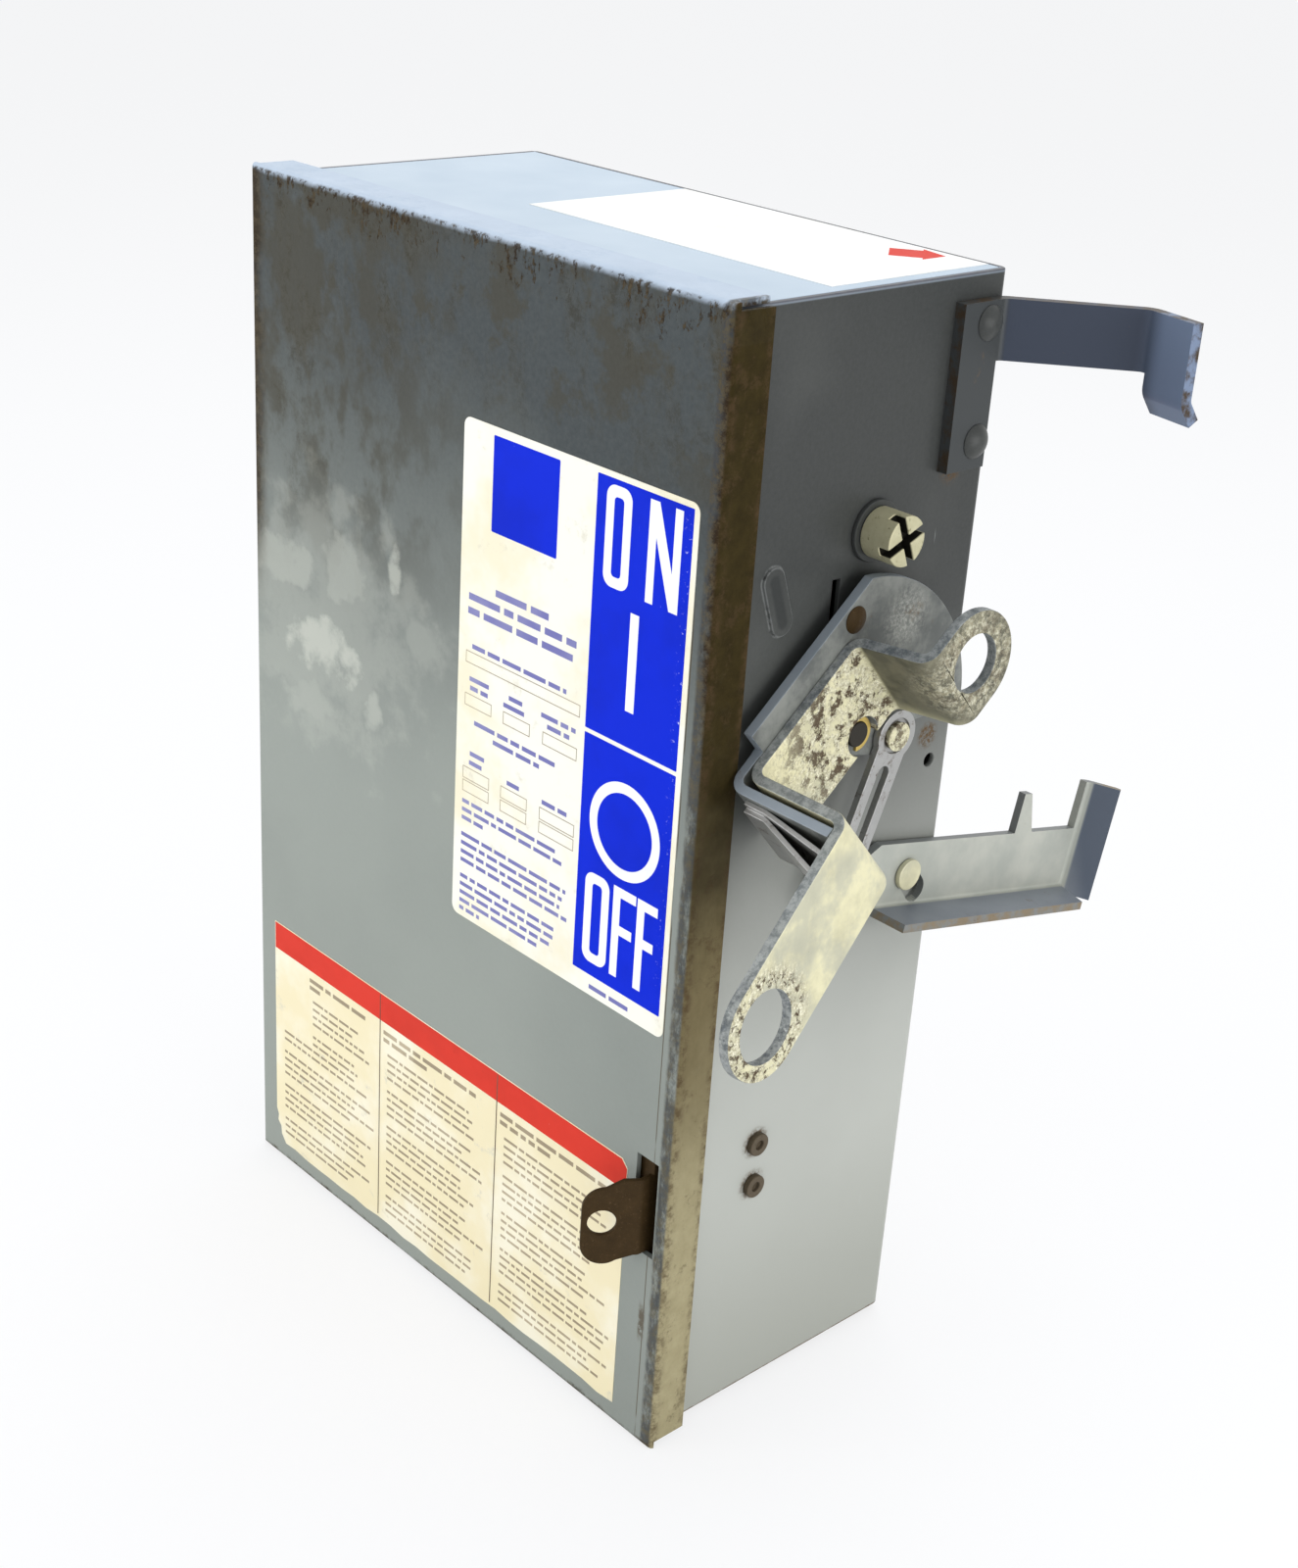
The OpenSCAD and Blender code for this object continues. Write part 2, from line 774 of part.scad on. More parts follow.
// ---- Hanger hook and hanger latch lever ----
module hanger_hook() {
    mid = hook_t / 2;
    bend = [mid, -hook_inset];
    elbow = bend + hook_arm_len * [sin(hook_arm_angle), cos(hook_arm_angle)];
    end_turn = 102;
    tip = elbow + hook_end_len * [sin(end_turn), cos(end_turn)];
    bend_r = 2.6;
    arm_start = (bend_r + mid) * tan(hook_arm_angle / 2);
    end_start = (bend_r + mid) * tan((end_turn - hook_arm_angle) / 2);
    color(grey)
        difference() {
            translate([wall_x, 0, 0]) {
                upright(hook_top - hook_arm_h, hook_top)
                    bent_strip([[mid, -hook_inset - hook_plate_w], bend, elbow, tip], hook_t, bend_r);
                block(0, hook_t, -hook_inset - hook_plate_w, -hook_inset - arm_start,
                    hook_top - hook_plate_h, hook_top);
                translate([elbow[0], elbow[1], hook_top])
                    rotate([0, 0, 90 - end_turn])
                        hook_end(end_start);
            }
            at_hook_rivets()
                along_x(-cut, hook_t + cut, hook_rivet_shank_r);
        }
}

// Turned down end of the hook with its curled lip. Local +X runs along the panel, +Y to the back.
module hook_end(start) {
    lip = 6;
    sheet_x(start, hook_end_len)
        bent_strip([[0, 0], [0, -hook_end_h], [lip * 0.7, -hook_end_h - lip]], hook_t, 2.6);
}

module hanger_rivets() {
    color(grey)
        at_hook_rivets() {
            along_x(-sheet_t, hook_t, hook_rivet_shank_r);
            translate([hook_t, 0, 0])
                dome_x(hook_rivet_r, hook_rivet_r / 2);
            along_x(-sheet_t - hook_tail_t, -sheet_t, hook_tail_r);
        }
}

lever_face = lever_gap + lever_t;
lever_slot_end = [6.8, -5.9];
lever_arm_r = 6.5;

module latch_lever() {
    color(grey)
        at_lever()
            difference() {
                union() {
                    sheet_x(lever_gap, lever_face)
                        lever_web();
                    lever_bottom_flange();
                    lever_end_panel();
                }
                sheet_x(lever_gap - cut, lever_face + cut)
                    capsule([0, 0], lever_slot_end, lever_pin_r + run_gap);
                translate([0, -lever_front, 0])
                    along_x(lever_gap - cut, lever_face + cut, lever_stud_r);
            }
}

flange_from = -14;
flange_root = 5;
spike_from = 0.6;

// Outline of the lever along its slope: the pin is at the origin.
module lever_web() {
    web_low = -lever_down + flange_root;
    spike = lever_len * spike_from;
    polygon([[-lever_front, lever_arm_r], [-lever_front, -lever_arm_r], [flange_from - 8, -lever_arm_r],
        [flange_from, web_low], [lever_len - 2, web_low], [lever_len - 2, -lever_down],
        [lever_len - panel_trim(), -lever_down], [lever_len - panel_trim(), lever_up],
        [spike + 9.6, lever_up], [spike + 3.9, lever_up + spike_h], [spike, lever_up + spike_h],
        [spike, lever_up], [flange_from - 2, lever_up], [flange_from - 8, lever_arm_r]]);
    translate([-lever_front, 0])
        circle(r = lever_arm_r);
}

module lever_bottom_flange() {
    end = lever_len - 0.7;
    mid = lever_gap + lever_t / 2;
    low = -lever_down + lever_t / 2;
    out = lever_face + lever_flange;
    slant = 7.3;
    difference() {
        translate([0, end, 0])
            rotate([90, 0, 0])
                linear_extrude(end - flange_from)
                    bent_strip([[mid, -lever_down + flange_root], [mid, low], [out, low]], lever_t, 1);
        translate([0, 0, -lever_down - cut])
            linear_extrude(flange_root + 2 * cut)
                polygon([[lever_face, end + cut], [lever_face, end], [out + cut, end - slant], [out + cut, end + cut]]);
        block(0, lever_face, lever_len - 2, end + cut, -lever_down - cut, -lever_down + flange_root + cut);
    }
}

panel_bend_r = 2;
function panel_trim() = (panel_bend_r + lever_t / 2) * tan(panel_angle / 2);

// End of the lever, turned outwards, taller than the lever itself.
module lever_end_panel() {
    mid = lever_gap + lever_t / 2;
    tip = [mid + panel_len * sin(panel_angle), lever_len + panel_len * cos(panel_angle)];
    start = lever_len - panel_trim();
    intersection() {
        upright(-lever_down, -lever_down + panel_h)
            bent_strip([[mid, start - 10], [mid, lever_len], tip], lever_t, panel_bend_r);
        sheet_x(0, tip[0] + lever_t)
            union() {
                round_rect(start - 3, tip[1] + lever_t, -lever_down, -lever_down + panel_h, 2.8);
                translate([start, -lever_down])
                    square([3, panel_h]);
            }
        block(0, tip[0] + lever_t, start, tip[1] + 2 * lever_t, -lever_down - cut, -lever_down + panel_h + cut);
    }
}

lever_stud_r = 1.8;

module lever_stud() {
    head_r = 2.8;
    link_face = link_off + link_t + part_gap;
    color(steel)
        at_lever()
            translate([0, -lever_front, 0]) {
                along_x(lever_gap, link_face, lever_stud_r);
                along_x(link_face, link_face + 1.2, head_r);
            }
}

module lever_pin() {
    head_r = lever_pin_r + 0.8;
    head_x = wall_x + lever_face + 0.2;
    color(zinc)
        translate([0, -lever_back, -lever_drop]) {
            along_x(inner_x - 2, wall_x, lever_pin_shank_r);
            along_x(wall_x, head_x, lever_pin_r);
            along_x(head_x, head_x + 1.8, head_r);
        }
}

module lever_washer() {
    color(steel)
        translate([0, -lever_back, -lever_drop])
            difference() {
                along_x(wall_x, wall_x + lever_gap - 0.2, lever_pin_r + 3);
                along_x(wall_x - cut, wall_x + lever_gap + cut, lever_pin_r);
            }
}

// ---- Operating handle: local +Y towards the upper eye, +Z across the strap, +X off the wall ----
strap_mid = strap_off + strap_t / 2;
wing_up_x = strap_mid + wing_up_h;
wing_down_x = strap_mid + wing_down_h;
wing_lean = 2.9;
upper_eye_y = strap_up + wing_lean + upper_eye_reach;
strap_z0 = strap_shift - strap_w / 2;
strap_z1 = strap_shift + strap_w / 2;
hub_hole_r = 6.4;

module handle_strap() {
    eye_r = strap_w / 2;
    end = eye_r + cut / 2;
    color(zinc)
        at_handle()
            difference() {
                upright(strap_z0, strap_z1)
                    bent_strip([[wing_up_x, upper_eye_y + end], [wing_up_x, strap_up + wing_lean],
                        [strap_mid, strap_up], [strap_mid, -strap_down], [wing_down_x, -strap_down],
                        lower_eye() + end * [sin(arm_lean), -cos(arm_lean)]], strap_t, strap_bend_r);
                translate([wing_up_x, upper_eye_y, strap_shift])
                    eye_cutter(upper_eye_r, eye_r);
                translate([lower_eye()[0], lower_eye()[1], strap_shift])
                    rotate([0, 0, arm_lean])
                        mirror([0, 1, 0])
                            eye_cutter(lower_eye_r, eye_r);
                along_x(strap_off - cut, strap_off + strap_t + cut, hub_hole_r);
            }
}

function lower_eye() = [wing_down_x + lower_eye_reach * sin(arm_lean), -strap_down - lower_eye_reach * cos(arm_lean)];

// Cuts the hole of an eye and rounds the strap's end, which points along +Y.
module eye_cutter(hole_r, eye_r) {
    depth = 2 * strap_t;
    along_x(-depth, depth, hole_r);
    sheet_x(-depth, depth)
        difference() {
            translate([0, -eye_r - cut])
                square([eye_r + cut, 2 * eye_r + 2 * cut]);
            circle(r = eye_r + blend);
        }
}

module rotor_plate() {
    flange_mid_y = -rotor_down;
    plate_mid = rotor_off + rotor_t / 2;
    color(grey)
        at_handle()
            difference() {
                union() {
                    sheet_x(rotor_off, strap_off)
                        rotor_outline();
                    upright(strap_z0, strap_z1)
                        bent_strip([[plate_mid, -rotor_down * 0.7], [plate_mid, flange_mid_y],
                            [plate_mid + rotor_flange_h, flange_mid_y]], rotor_t - 0.4, 2.6);
                }
                along_x(rotor_off - cut, strap_off + cut, shaft_end_r);
                at_local_stud()
                    along_x(rotor_off - cut, strap_off + cut, stud_root_r);
                at_rotor_rivet()
                    along_x(rotor_off - cut, strap_off + cut, rotor_rivet_r);
            }
}

// Outline of the rotor: a disc cut along a straight edge, notched at the flange.
module rotor_outline() {
    notch = 27.2;
    level = -handle_tilt;
    root_y = -rotor_down * 0.7 - 1;
    intersection() {
        circle(r = rotor_r);
        polygon([[root_y, strap_z0], [0, strap_z0], 2 * rotor_r * [cos(level), sin(level)], [2 * rotor_r, rotor_edge],
            [-notch, rotor_edge], [-notch, strap_z1], [root_y, strap_z1]]);
    }
    translate(local_stud())
        circle(r = stud_r + 4);
    capsule([0, 0], local_stud(), stud_r + 3);
}

function local_stud() = stud_arm * [cos(-stud_drop - handle_tilt), sin(-stud_drop - handle_tilt)];

module at_local_stud() {
    translate([0, local_stud()[0], local_stud()[1]])
        children();
}

stud_root_r = 2.6;
rotor_rivet_r = 2.6;
shaft_end_r = 4;

module at_rotor_rivet() {
    translate([0, rotor_r * 0.42, rotor_edge - 5])
        children();
}

// Two leaf springs under the rotor flange that soften the handle's stops.
module rotor_springs() {
    flange_out = rotor_down + (rotor_t - 0.4) / 2;
    root = rotor_off + rotor_t + 4;
    knee = root + 8;
    end = rotor_off + rotor_t / 2 + rotor_flange_h;
    color(steel)
        at_handle()
            for (i = [0, 1]) {
                y = -flange_out - spring_leaf_t * (i + 0.5);
                spread = 3.4 + 4 * i;
                upright(strap_z0 + 1 + i, strap_z1 - 2 - 2 * i)
                    bent_strip([[root, y], [knee, y], [end, y - spread]], spring_leaf_t, 6);
            }
}

module rotor_rivet() {
    color(dark_steel)
        at_handle()
            at_rotor_rivet() {
                along_x(rotor_off, strap_off, rotor_rivet_r);
                translate([strap_off, 0, 0])
                    dome_x(4.4, 1.6);
            }
}

module link_stud() {
    head_x = link_off + link_t + 0.2;
    color(zinc)
        at_handle()
            at_local_stud() {
                along_x(rotor_off, strap_off, stud_root_r);
                along_x(strap_off, head_x, stud_r);
                along_x(head_x, head_x + 0.8, stud_r + 0.5);
            }
}

// ---- Interlock link: its eye is on the rotor's stud and its slot is round the lever's stud ----
lever_stud_y = -lever_back - lever_front * cos(lever_slope);
lever_stud_z = -lever_drop + lever_front * sin(lever_slope);
link_reach = norm([lever_stud_y - stud_y, lever_stud_z - stud_z]);
link_slack = 2.9;
link_down = atan2(lever_stud_z - stud_z, lever_stud_y - stud_y) - link_slack;
link_wide = 2 * (lever_stud_r + link_reach * sin(link_slack) + 0.6);

module interlock_link() {
    color(steel)
        translate([wall_x, stud_y, stud_z])
            rotate([link_down, 0, 0])
                difference() {
                    sheet_x(link_off, link_off + link_t)
                        link_outline();
                    along_x(link_off - cut, link_off + link_t + cut, stud_r + run_gap);
                    along_x(link_off + link_t * 0.55, link_off + link_t + cut, stud_r + 1.6);
                }
}

// Local +Y runs from the eye to the lower end.
module link_outline() {
    end_r = link_wide / 2 + 2.4;
    wide_from = link_reach - 9;
    difference() {
        union() {
            circle(r = link_eye_r);
            translate([0, -link_w / 2])
                square([wide_from, link_w]);
            capsule([wide_from, 0], [link_reach + 2, 0], end_r);
        }
        capsule([link_eye_r + link_slot_w / 2 + 1.6, 0], [wide_from, 0], link_slot_w / 2);
        capsule([wide_from, 0], [link_reach + 1, 0], link_wide / 2);
    }
}

// ---- Operating shaft and what turns with it ----
module operating_shaft() {
    color(steel)
        translate([0, pivot_y, pivot_up]) {
            along_x(-inner_x + 2, wall_x + rotor_off, shaft_r);
            along_x(wall_x + rotor_off, wall_x + strap_off + 1.6, shaft_end_r);
        }
}

module shaft_clip() {
    color(brass)
        translate([wall_x, pivot_y, pivot_up])
            difference() {
                along_x(strap_off, strap_off + 1.1, hub_hole_r - 0.7);
                along_x(strap_off - cut, strap_off + 1.1 + cut, shaft_end_r);
                sheet_x(strap_off - cut, strap_off + 1.1 + cut)
                    wedge(200, 70, 3 * hub_hole_r);
            }
}

bush_len = 7;

module shaft_bush() {
    color(zinc)
        translate([0, pivot_y, pivot_up])
            difference() {
                union() {
                    along_x(inner_x - bush_len, wall_x, bush_r);
                    along_x(wall_x, wall_x + 1.2, bush_r + 2.4);
                    along_x(inner_x - bush_len, inner_x, bush_r + 2);
                }
                along_x(inner_x - bush_len - cut, wall_x + 1.2 + cut, shaft_r + run_gap);
            }
}

bearing_t = shaft_r / 2;
bearing_flange_w = shaft_r * 1.13;
bearing_flange_t = bearing_flange_w / 3;
bearing_len = shaft_r * 1.385;

module end_bearing() {
    color(black_mould)
        translate([0, pivot_y, pivot_up])
            difference() {
                union() {
                    along_x(-inner_x, -inner_x + bearing_flange_t, shaft_r + bearing_flange_w);
                    along_x(-inner_x, -inner_x + bearing_len, shaft_r + bearing_t);
                }
                along_x(-inner_x - cut, -inner_x + bearing_len + cut, shaft_r + run_gap);
            }
}

crossbar_play = 5;
crossbar_half = inner_x - bearing_len - crossbar_play;

module crossbar() {
    color(red_mould)
        translate([0, pivot_y, pivot_up])
            difference() {
                union() {
                    along_x(-crossbar_half, crossbar_half, crossbar_r);
                    for (x = pole_x)
                        for (side = [-1, 1])
                            translate([x + side * (blade_t / 2 + 6.5), 0, 0])
                                rotate([blade_on + handle_throw, 0, 0])
                                    block(-2.5, 2.5, 0, crossbar_r + 7, -crossbar_r * 0.8, crossbar_r * 0.8);
                }
                along_x(-crossbar_half - cut, crossbar_half + cut, shaft_r);
            }
}

module switch_blades() {
    color(copper)
        translate([0, pivot_y, pivot_up])
            rotate([blade_on + handle_throw, 0, 0])
                for (x = pole_x)
                    difference() {
                        sheet_x(x - blade_t / 2, x + blade_t / 2)
                            union() {
                                circle(r = blade_ring_r);
                                capsule([0, 0], [blade_reach - blade_w / 2, 0], blade_w / 2);
                            }
                        along_x(x - blade_t, x + blade_t, crossbar_r);
                    }
}

// ---- Release screw in the side wall ----
collar_t = 1.6;

module release_screw() {
    head_x = wall_x + collar_t + 0.2;
    slot_depth = 4;
    color(brass)
        translate([0, barrel_y, barrel_z])
            difference() {
                union() {
                    along_x(inner_x - 7, head_x, release_shaft_r);
                    along_x(head_x, wall_x + barrel_len, barrel_r);
                    along_x(inner_x - 7, inner_x - 3.2, barrel_r);
                }
                rotate([22, 0, 0])
                    for (a = [0, 90])
                        rotate([a, 0, 0])
                            block(wall_x + barrel_len - slot_depth, wall_x + barrel_len + cut, -barrel_r - cut,
                                barrel_r + cut, -cross_slot_w / 2, cross_slot_w / 2);
            }
}

module release_collar() {
    color(dark_steel)
        translate([0, barrel_y, barrel_z])
            difference() {
                along_x(wall_x, wall_x + collar_t, barrel_r + 1.8);
                along_x(wall_x - cut, wall_x + collar_t + cut, release_shaft_r + run_gap);
            }
}

// ---- Insulating bases ----
module base_plate(z0, z1, rib) {
    difference() {
        union() {
            block(-base_half_w, base_half_w, base_front, inner_y, z0, z1);
            for (x = [-base_half_w, base_half_w - rib])
                block(x, x + rib, base_front - rib, base_front, z0, z1);
        }
        at_base_screws()
            along_y(base_front - cut, inner_y + cut, base_screw_r);
        at_plug_studs()
            along_y(base_front - cut, inner_y + cut, plug_stud_r);
    }
}

module switch_base() {
    color(black_mould)
        base_plate(switch_base_z0, switch_base_z1, 3);
}

module fuse_base() {
    color(black_mould)
        base_plate(fuse_base_z0, fuse_base_z1, 3);
}

module base_screws() {
    head_r = 4.2;
    head_h = 2.6;
    color(steel)
        at_base_screws()
            difference() {
                union() {
                    along_y(base_front, inner_y + sheet_t, base_screw_r);
                    along_y(base_front - head_h, base_front, head_r);
                }
                block(-head_r - cut, head_r + cut, base_front - head_h - cut, base_front - head_h + 1.1, -0.6, 0.6);
            }
}

module phase_barriers() {
    front = -body_d + 8;
    color([0.72, 0.70, 0.62])
        for (x = [-pole_pitch / 2, pole_pitch / 2])
            difference() {
                sheet_x(x - barrier_t / 2, x + barrier_t / 2)
                    polygon([[base_front, switch_base_z0], [front + 14, switch_base_z0], [front, switch_base_z0 + 14],
                        [front, switch_base_z1 - 22], [front + 22, switch_base_z1], [base_front, switch_base_z1]]);
                translate([0, pivot_y, pivot_up])
                    along_x(x - barrier_t, x + barrier_t, crossbar_r + 1);
            }
}

// ---- Contacts and straps on the bases ----
strap_cu = 2;
strap_face = base_front - strap_cu;
jaw_z0 = pivot_up + blade_reach * sin(blade_on) - 15;
jaw_z1 = jaw_z0 + 20;
leaf_gap = blade_t / 2 + part_gap;

module line_jaws() {
    front = pivot_y + blade_reach * cos(blade_on) - 9;
    color(copper)
        for (i = [0 : 2])
            translate([pole_x[i], 0, 0])
                difference() {
                    union() {
                        block(-8, 8, strap_face, base_front, min(bus_z[i] - 8, jaw_z0), max(bus_z[i] + 8, jaw_z1));
                        for (side = [-1, 1])
                            jaw_leaf(side, front, jaw_z0, jaw_z1);
                    }
                    translate([0, 0, bus_z[i]]) {
                        along_y(strap_face - cut, base_front + cut, plug_stud_r);
                        along_y(strap_face - stud_nut_h - 1 - part_gap, strap_face, stud_nut_r + part_gap);
                    }
                }
}

// One spring leaf of a blade contact, standing on the strap.
module jaw_leaf(side, front, z0, z1) {
    x = side > 0 ? leaf_gap : -leaf_gap - clip_t;
    block(x, x + clip_t, front, strap_face, z0, z1);
}

module hinge_clips() {
    front = pivot_y + crossbar_r + 1.4;
    clip_z0 = pivot_up - blade_ring_r * 0.78;
    clip_z1 = pivot_up + blade_ring_r / 3;
    color(copper)
        for (x = pole_x)
            translate([x, 0, 0]) {
                block(-7, 7, strap_face, base_front, fuse_top - ferrule_h, clip_z1);
                for (side = [-1, 1])
                    jaw_leaf(side, front, clip_z0, clip_z1);
            }
}

fuse_y = base_front - fuse_forward;
ferrule_r = fuse_r + ferrule_t;
clip_h = ferrule_h - 3;

module fuse_clips() {
    color(copper)
        for (x = pole_x)
            for (z = [fuse_top - ferrule_h + 1.5, fuse_low + 1.5])
                translate([x, 0, 0])
                    upright(z, z + clip_h)
                        clip_section();
}

// Spring clip that holds a ferrule, open to the front.
module clip_section() {
    translate([0, fuse_y])
        difference() {
            circle(r = ferrule_r + clip_t);
            circle(r = ferrule_r);
            wedge(-140, 100, 3 * ferrule_r);
        }
    difference() {
        translate([-3, fuse_y + ferrule_r * 0.9])
            square([6, strap_face - fuse_y - ferrule_r * 0.9]);
        translate([0, fuse_y])
            circle(r = ferrule_r + clip_t / 2);
    }
    translate([-8, strap_face - clip_t])
        square([16, clip_t]);
}

module fuse_tubes() {
    color([0.78, 0.70, 0.52])
        for (x = pole_x)
            translate([x, fuse_y, fuse_low + ferrule_t])
                cylinder(r = fuse_r, h = fuse_len - 2 * ferrule_t);
}

module fuse_ferrules() {
    color(copper)
        for (x = pole_x)
            for (end = [0, 1])
                translate([x, fuse_y, end == 0 ? fuse_low : fuse_top])
                    mirror([0, 0, end])
                        difference() {
                            cylinder(r = ferrule_r, h = ferrule_h);
                            translate([0, 0, ferrule_t])
                                cylinder(r = fuse_r, h = ferrule_h);
                        }
}

lug_z1_low = fuse_low - 4;
lug_h_load = 18;
load_lug_d = 15;

module load_lugs() {
    color([0.72, 0.73, 0.74])
        for (x = pole_x)
            translate([x, 0, 0])
                difference() {
                    union() {
                        block(-7, 7, strap_face, base_front, lug_z1_low - lug_h_load, fuse_low + ferrule_h - 1.5);
                        block(-load_lug_w / 2, load_lug_w / 2, strap_face - load_lug_d, strap_face,
                            lug_z1_low - lug_h_load, lug_z1_low);
                    }
                    translate([0, strap_face - 6, lug_z1_low - lug_h_load - cut])
                        cylinder(r = lug_bore_r, h = lug_h_load + 2 * cut);
                    translate([0, 0, lug_z1_low - lug_h_load / 2])
                        along_y(strap_face - load_lug_d - cut, strap_face - 6, lug_screw_r);
                }
}

lug_screw_r = 3.6;

module lug_screws() {
    color(steel)
        for (x = pole_x)
            translate([x, 0, lug_z1_low - lug_h_load / 2])
                difference() {
                    along_y(strap_face - load_lug_d - 2, strap_face - 6 - lug_bore_r, lug_screw_r);
                    block(-lug_screw_r - cut, lug_screw_r + cut, strap_face - load_lug_d - 2 - cut,
                        strap_face - load_lug_d - 0.8, -0.6, 0.6);
                }
}

// ---- Ground terminal on the right side wall ----
ground_t = 12;

module ground_block() {
    margin = 8;
    color([0.72, 0.73, 0.74])
        difference() {
            block(inner_x - ground_t, inner_x, -ground_back - 7, -ground_back + 7, ground_z[1] - margin,
                ground_z[0] + margin);
            for (z = ground_z)
                translate([0, -ground_back, z])
                    along_x(inner_x - ground_t - cut, inner_x + cut, ground_shank_r);
            for (z = [ground_z[1] - 4.5, (ground_z[0] + ground_z[1]) / 2, ground_z[0] + 4.5])
                translate([inner_x - ground_t / 2, 0, z])
                    along_y(-ground_back - 7 - cut, -ground_back + 7 + cut, 2.6 / 2);
        }
}

module ground_screws() {
    head_t = 2.2;
    hollow_r = 1.7;
    color(dark_steel)
        for (z = ground_z)
            translate([wall_x, -ground_back, z])
                difference() {
                    union() {
                        along_x(-sheet_t - ground_t, 0, ground_shank_r);
                        along_x(0, head_t, ground_head_r);
                    }
                    along_x(head_t - 1.4, head_t + cut, hollow_r);
                }
}

// ---- Plug-in contacts on the back ----
plug_flange_t = 4;
finger_t = 2;

module plug_base() {
    z0 = bus_low - bus_pitch / 2;
    z1 = bus_low + 2.5 * bus_pitch;
    half = pole_pitch + jaw_w / 2 + 4;
    pocket = jaw_gap / 2 + finger_t + 2.6;
    color(red_mould)
        difference() {
            union() {
                upright(z0, z1)
                    round_rect(-half - 10, half + 10, 0, plug_flange_t, 1.2);
                upright(z0 + 3, z1 - 3)
                    round_rect(-half, half, 0, plug_base_d, 2.4);
                at_plug_studs()
                    along_y(inner_y, plug_flange_t, boss_r);
            }
            for (i = [0 : 2])
                block(pole_x[i] - jaw_w / 2 - 1, pole_x[i] + jaw_w / 2 + 1, plug_flange_t + 2, plug_base_d + cut,
                    bus_z[i] - pocket, bus_z[i] + pocket);
            at_plug_studs()
                along_y(inner_y - cut, plug_base_d, plug_stud_r);
        }
}

// Section of a pair of contact fingers that opens to the back, with its root at a given depth.
module finger_section(root) {
    flare = 1.7;
    mid = (jaw_gap + finger_t) / 2;
    root_y = root + finger_t / 2;
    bent_strip([[jaw_reach, mid + flare], [jaw_reach - 5, mid], [root_y, mid], [root_y, -mid],
        [jaw_reach - 5, -mid], [jaw_reach, -mid - flare]], finger_t, 0.5);
}

module plug_jaws() {
    color(copper)
        at_plug_studs()
            sheet_x(-jaw_w / 2, jaw_w / 2)
                finger_section(plug_flange_t + 2);
}

module plug_studs() {
    color(brass)
        at_plug_studs() {
            along_y(strap_face - stud_nut_h - 1, plug_flange_t + 2, plug_stud_r);
            translate([0, strap_face - stud_nut_h, 0])
                rotate([-90, 0, 0])
                    cylinder(r = stud_nut_r, h = stud_nut_h, $fn = 6);
        }
}

module ground_jaw() {
    z = bus_low - bus_pitch;
    foot_t = 2;
    color(steel)
        translate([0, 0, z]) {
            sheet_x(-jaw_w / 2, jaw_w / 2)
                finger_section(foot_t);
            block(-jaw_w / 2, jaw_w / 2, 0, foot_t, -jaw_w / 2, jaw_w * 0.375);
        }
}

case_shell();
top_end_plate();
bottom_end_plate();
cover();
cover_latch();
case_hinge_leaves();
cover_hinge_leaves();
hinge_pins();
hanger_hook();
hanger_rivets();
latch_lever();
lever_stud();
lever_pin();
lever_washer();
latch_guide();
handle_strap();
rotor_plate();
rotor_springs();
rotor_rivet();
link_stud();
interlock_link();
shaft_clip();
shaft_bush();
end_bearing();
operating_shaft();
crossbar();
switch_blades();
release_screw();
release_collar();
switch_base();
fuse_base();
base_screws();
phase_barriers();
line_jaws();
hinge_clips();
fuse_clips();
fuse_tubes();
fuse_ferrules();
load_lugs();
lug_screws();
ground_block();
ground_screws();
plug_base();
plug_jaws();
plug_studs();
ground_jaw();
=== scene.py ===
"""Busway tap off box: the finished look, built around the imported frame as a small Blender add-on.

Every rigid node gets a finished copy with broken edges and its own procedural finish. The plates,
their print and the stage are new surfaces, worked out with numpy from the sizes in the settings.
"""
import json
import math

import bmesh
import bpy
import numpy as np
from bpy.props import FloatProperty, FloatVectorProperty, PointerProperty
from mathutils import Matrix, Vector
from mathutils.bvhtree import BVHTree


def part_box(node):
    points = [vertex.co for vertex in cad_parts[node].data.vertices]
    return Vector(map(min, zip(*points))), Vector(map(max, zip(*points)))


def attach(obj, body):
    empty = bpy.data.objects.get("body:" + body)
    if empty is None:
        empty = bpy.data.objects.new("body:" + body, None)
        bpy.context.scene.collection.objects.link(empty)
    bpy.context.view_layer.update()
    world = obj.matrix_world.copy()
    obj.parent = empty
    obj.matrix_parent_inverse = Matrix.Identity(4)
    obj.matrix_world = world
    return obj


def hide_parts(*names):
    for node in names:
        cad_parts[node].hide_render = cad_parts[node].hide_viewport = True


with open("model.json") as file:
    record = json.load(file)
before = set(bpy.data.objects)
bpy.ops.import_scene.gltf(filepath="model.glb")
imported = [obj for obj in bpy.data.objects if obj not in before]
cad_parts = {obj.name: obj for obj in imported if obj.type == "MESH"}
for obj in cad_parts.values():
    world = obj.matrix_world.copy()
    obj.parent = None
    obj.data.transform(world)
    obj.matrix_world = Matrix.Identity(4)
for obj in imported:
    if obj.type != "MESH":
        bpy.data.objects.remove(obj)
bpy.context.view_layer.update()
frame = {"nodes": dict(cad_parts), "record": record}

bl_info = {
    "name": "Busway tap off box",
    "version": (1, 0, 0),
    "blender": (4, 5, 0),
    "location": "View3D > Sidebar > Tap off box",
    "description": "Finishes, plates and stage of a fusible busway tap off box",
    "category": "Object",
}

MM = 0.001
BODIES = frame["record"]["behaviour"]["bodies"]
BODY_OF = {node: body for body, nodes in BODIES.items() for node in nodes}
SLOT_OF = {part["node"]: part["material_slot"] for part in frame["record"]["subparts"]}
COVER_LOW, COVER_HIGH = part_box("cover")
CASE_LOW, CASE_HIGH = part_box("case_shell")
FRONT = COVER_LOW.y
FLOOR = COVER_LOW.z
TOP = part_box("top_end_plate")[1].z


# ---------------------------------------------------------------- settings

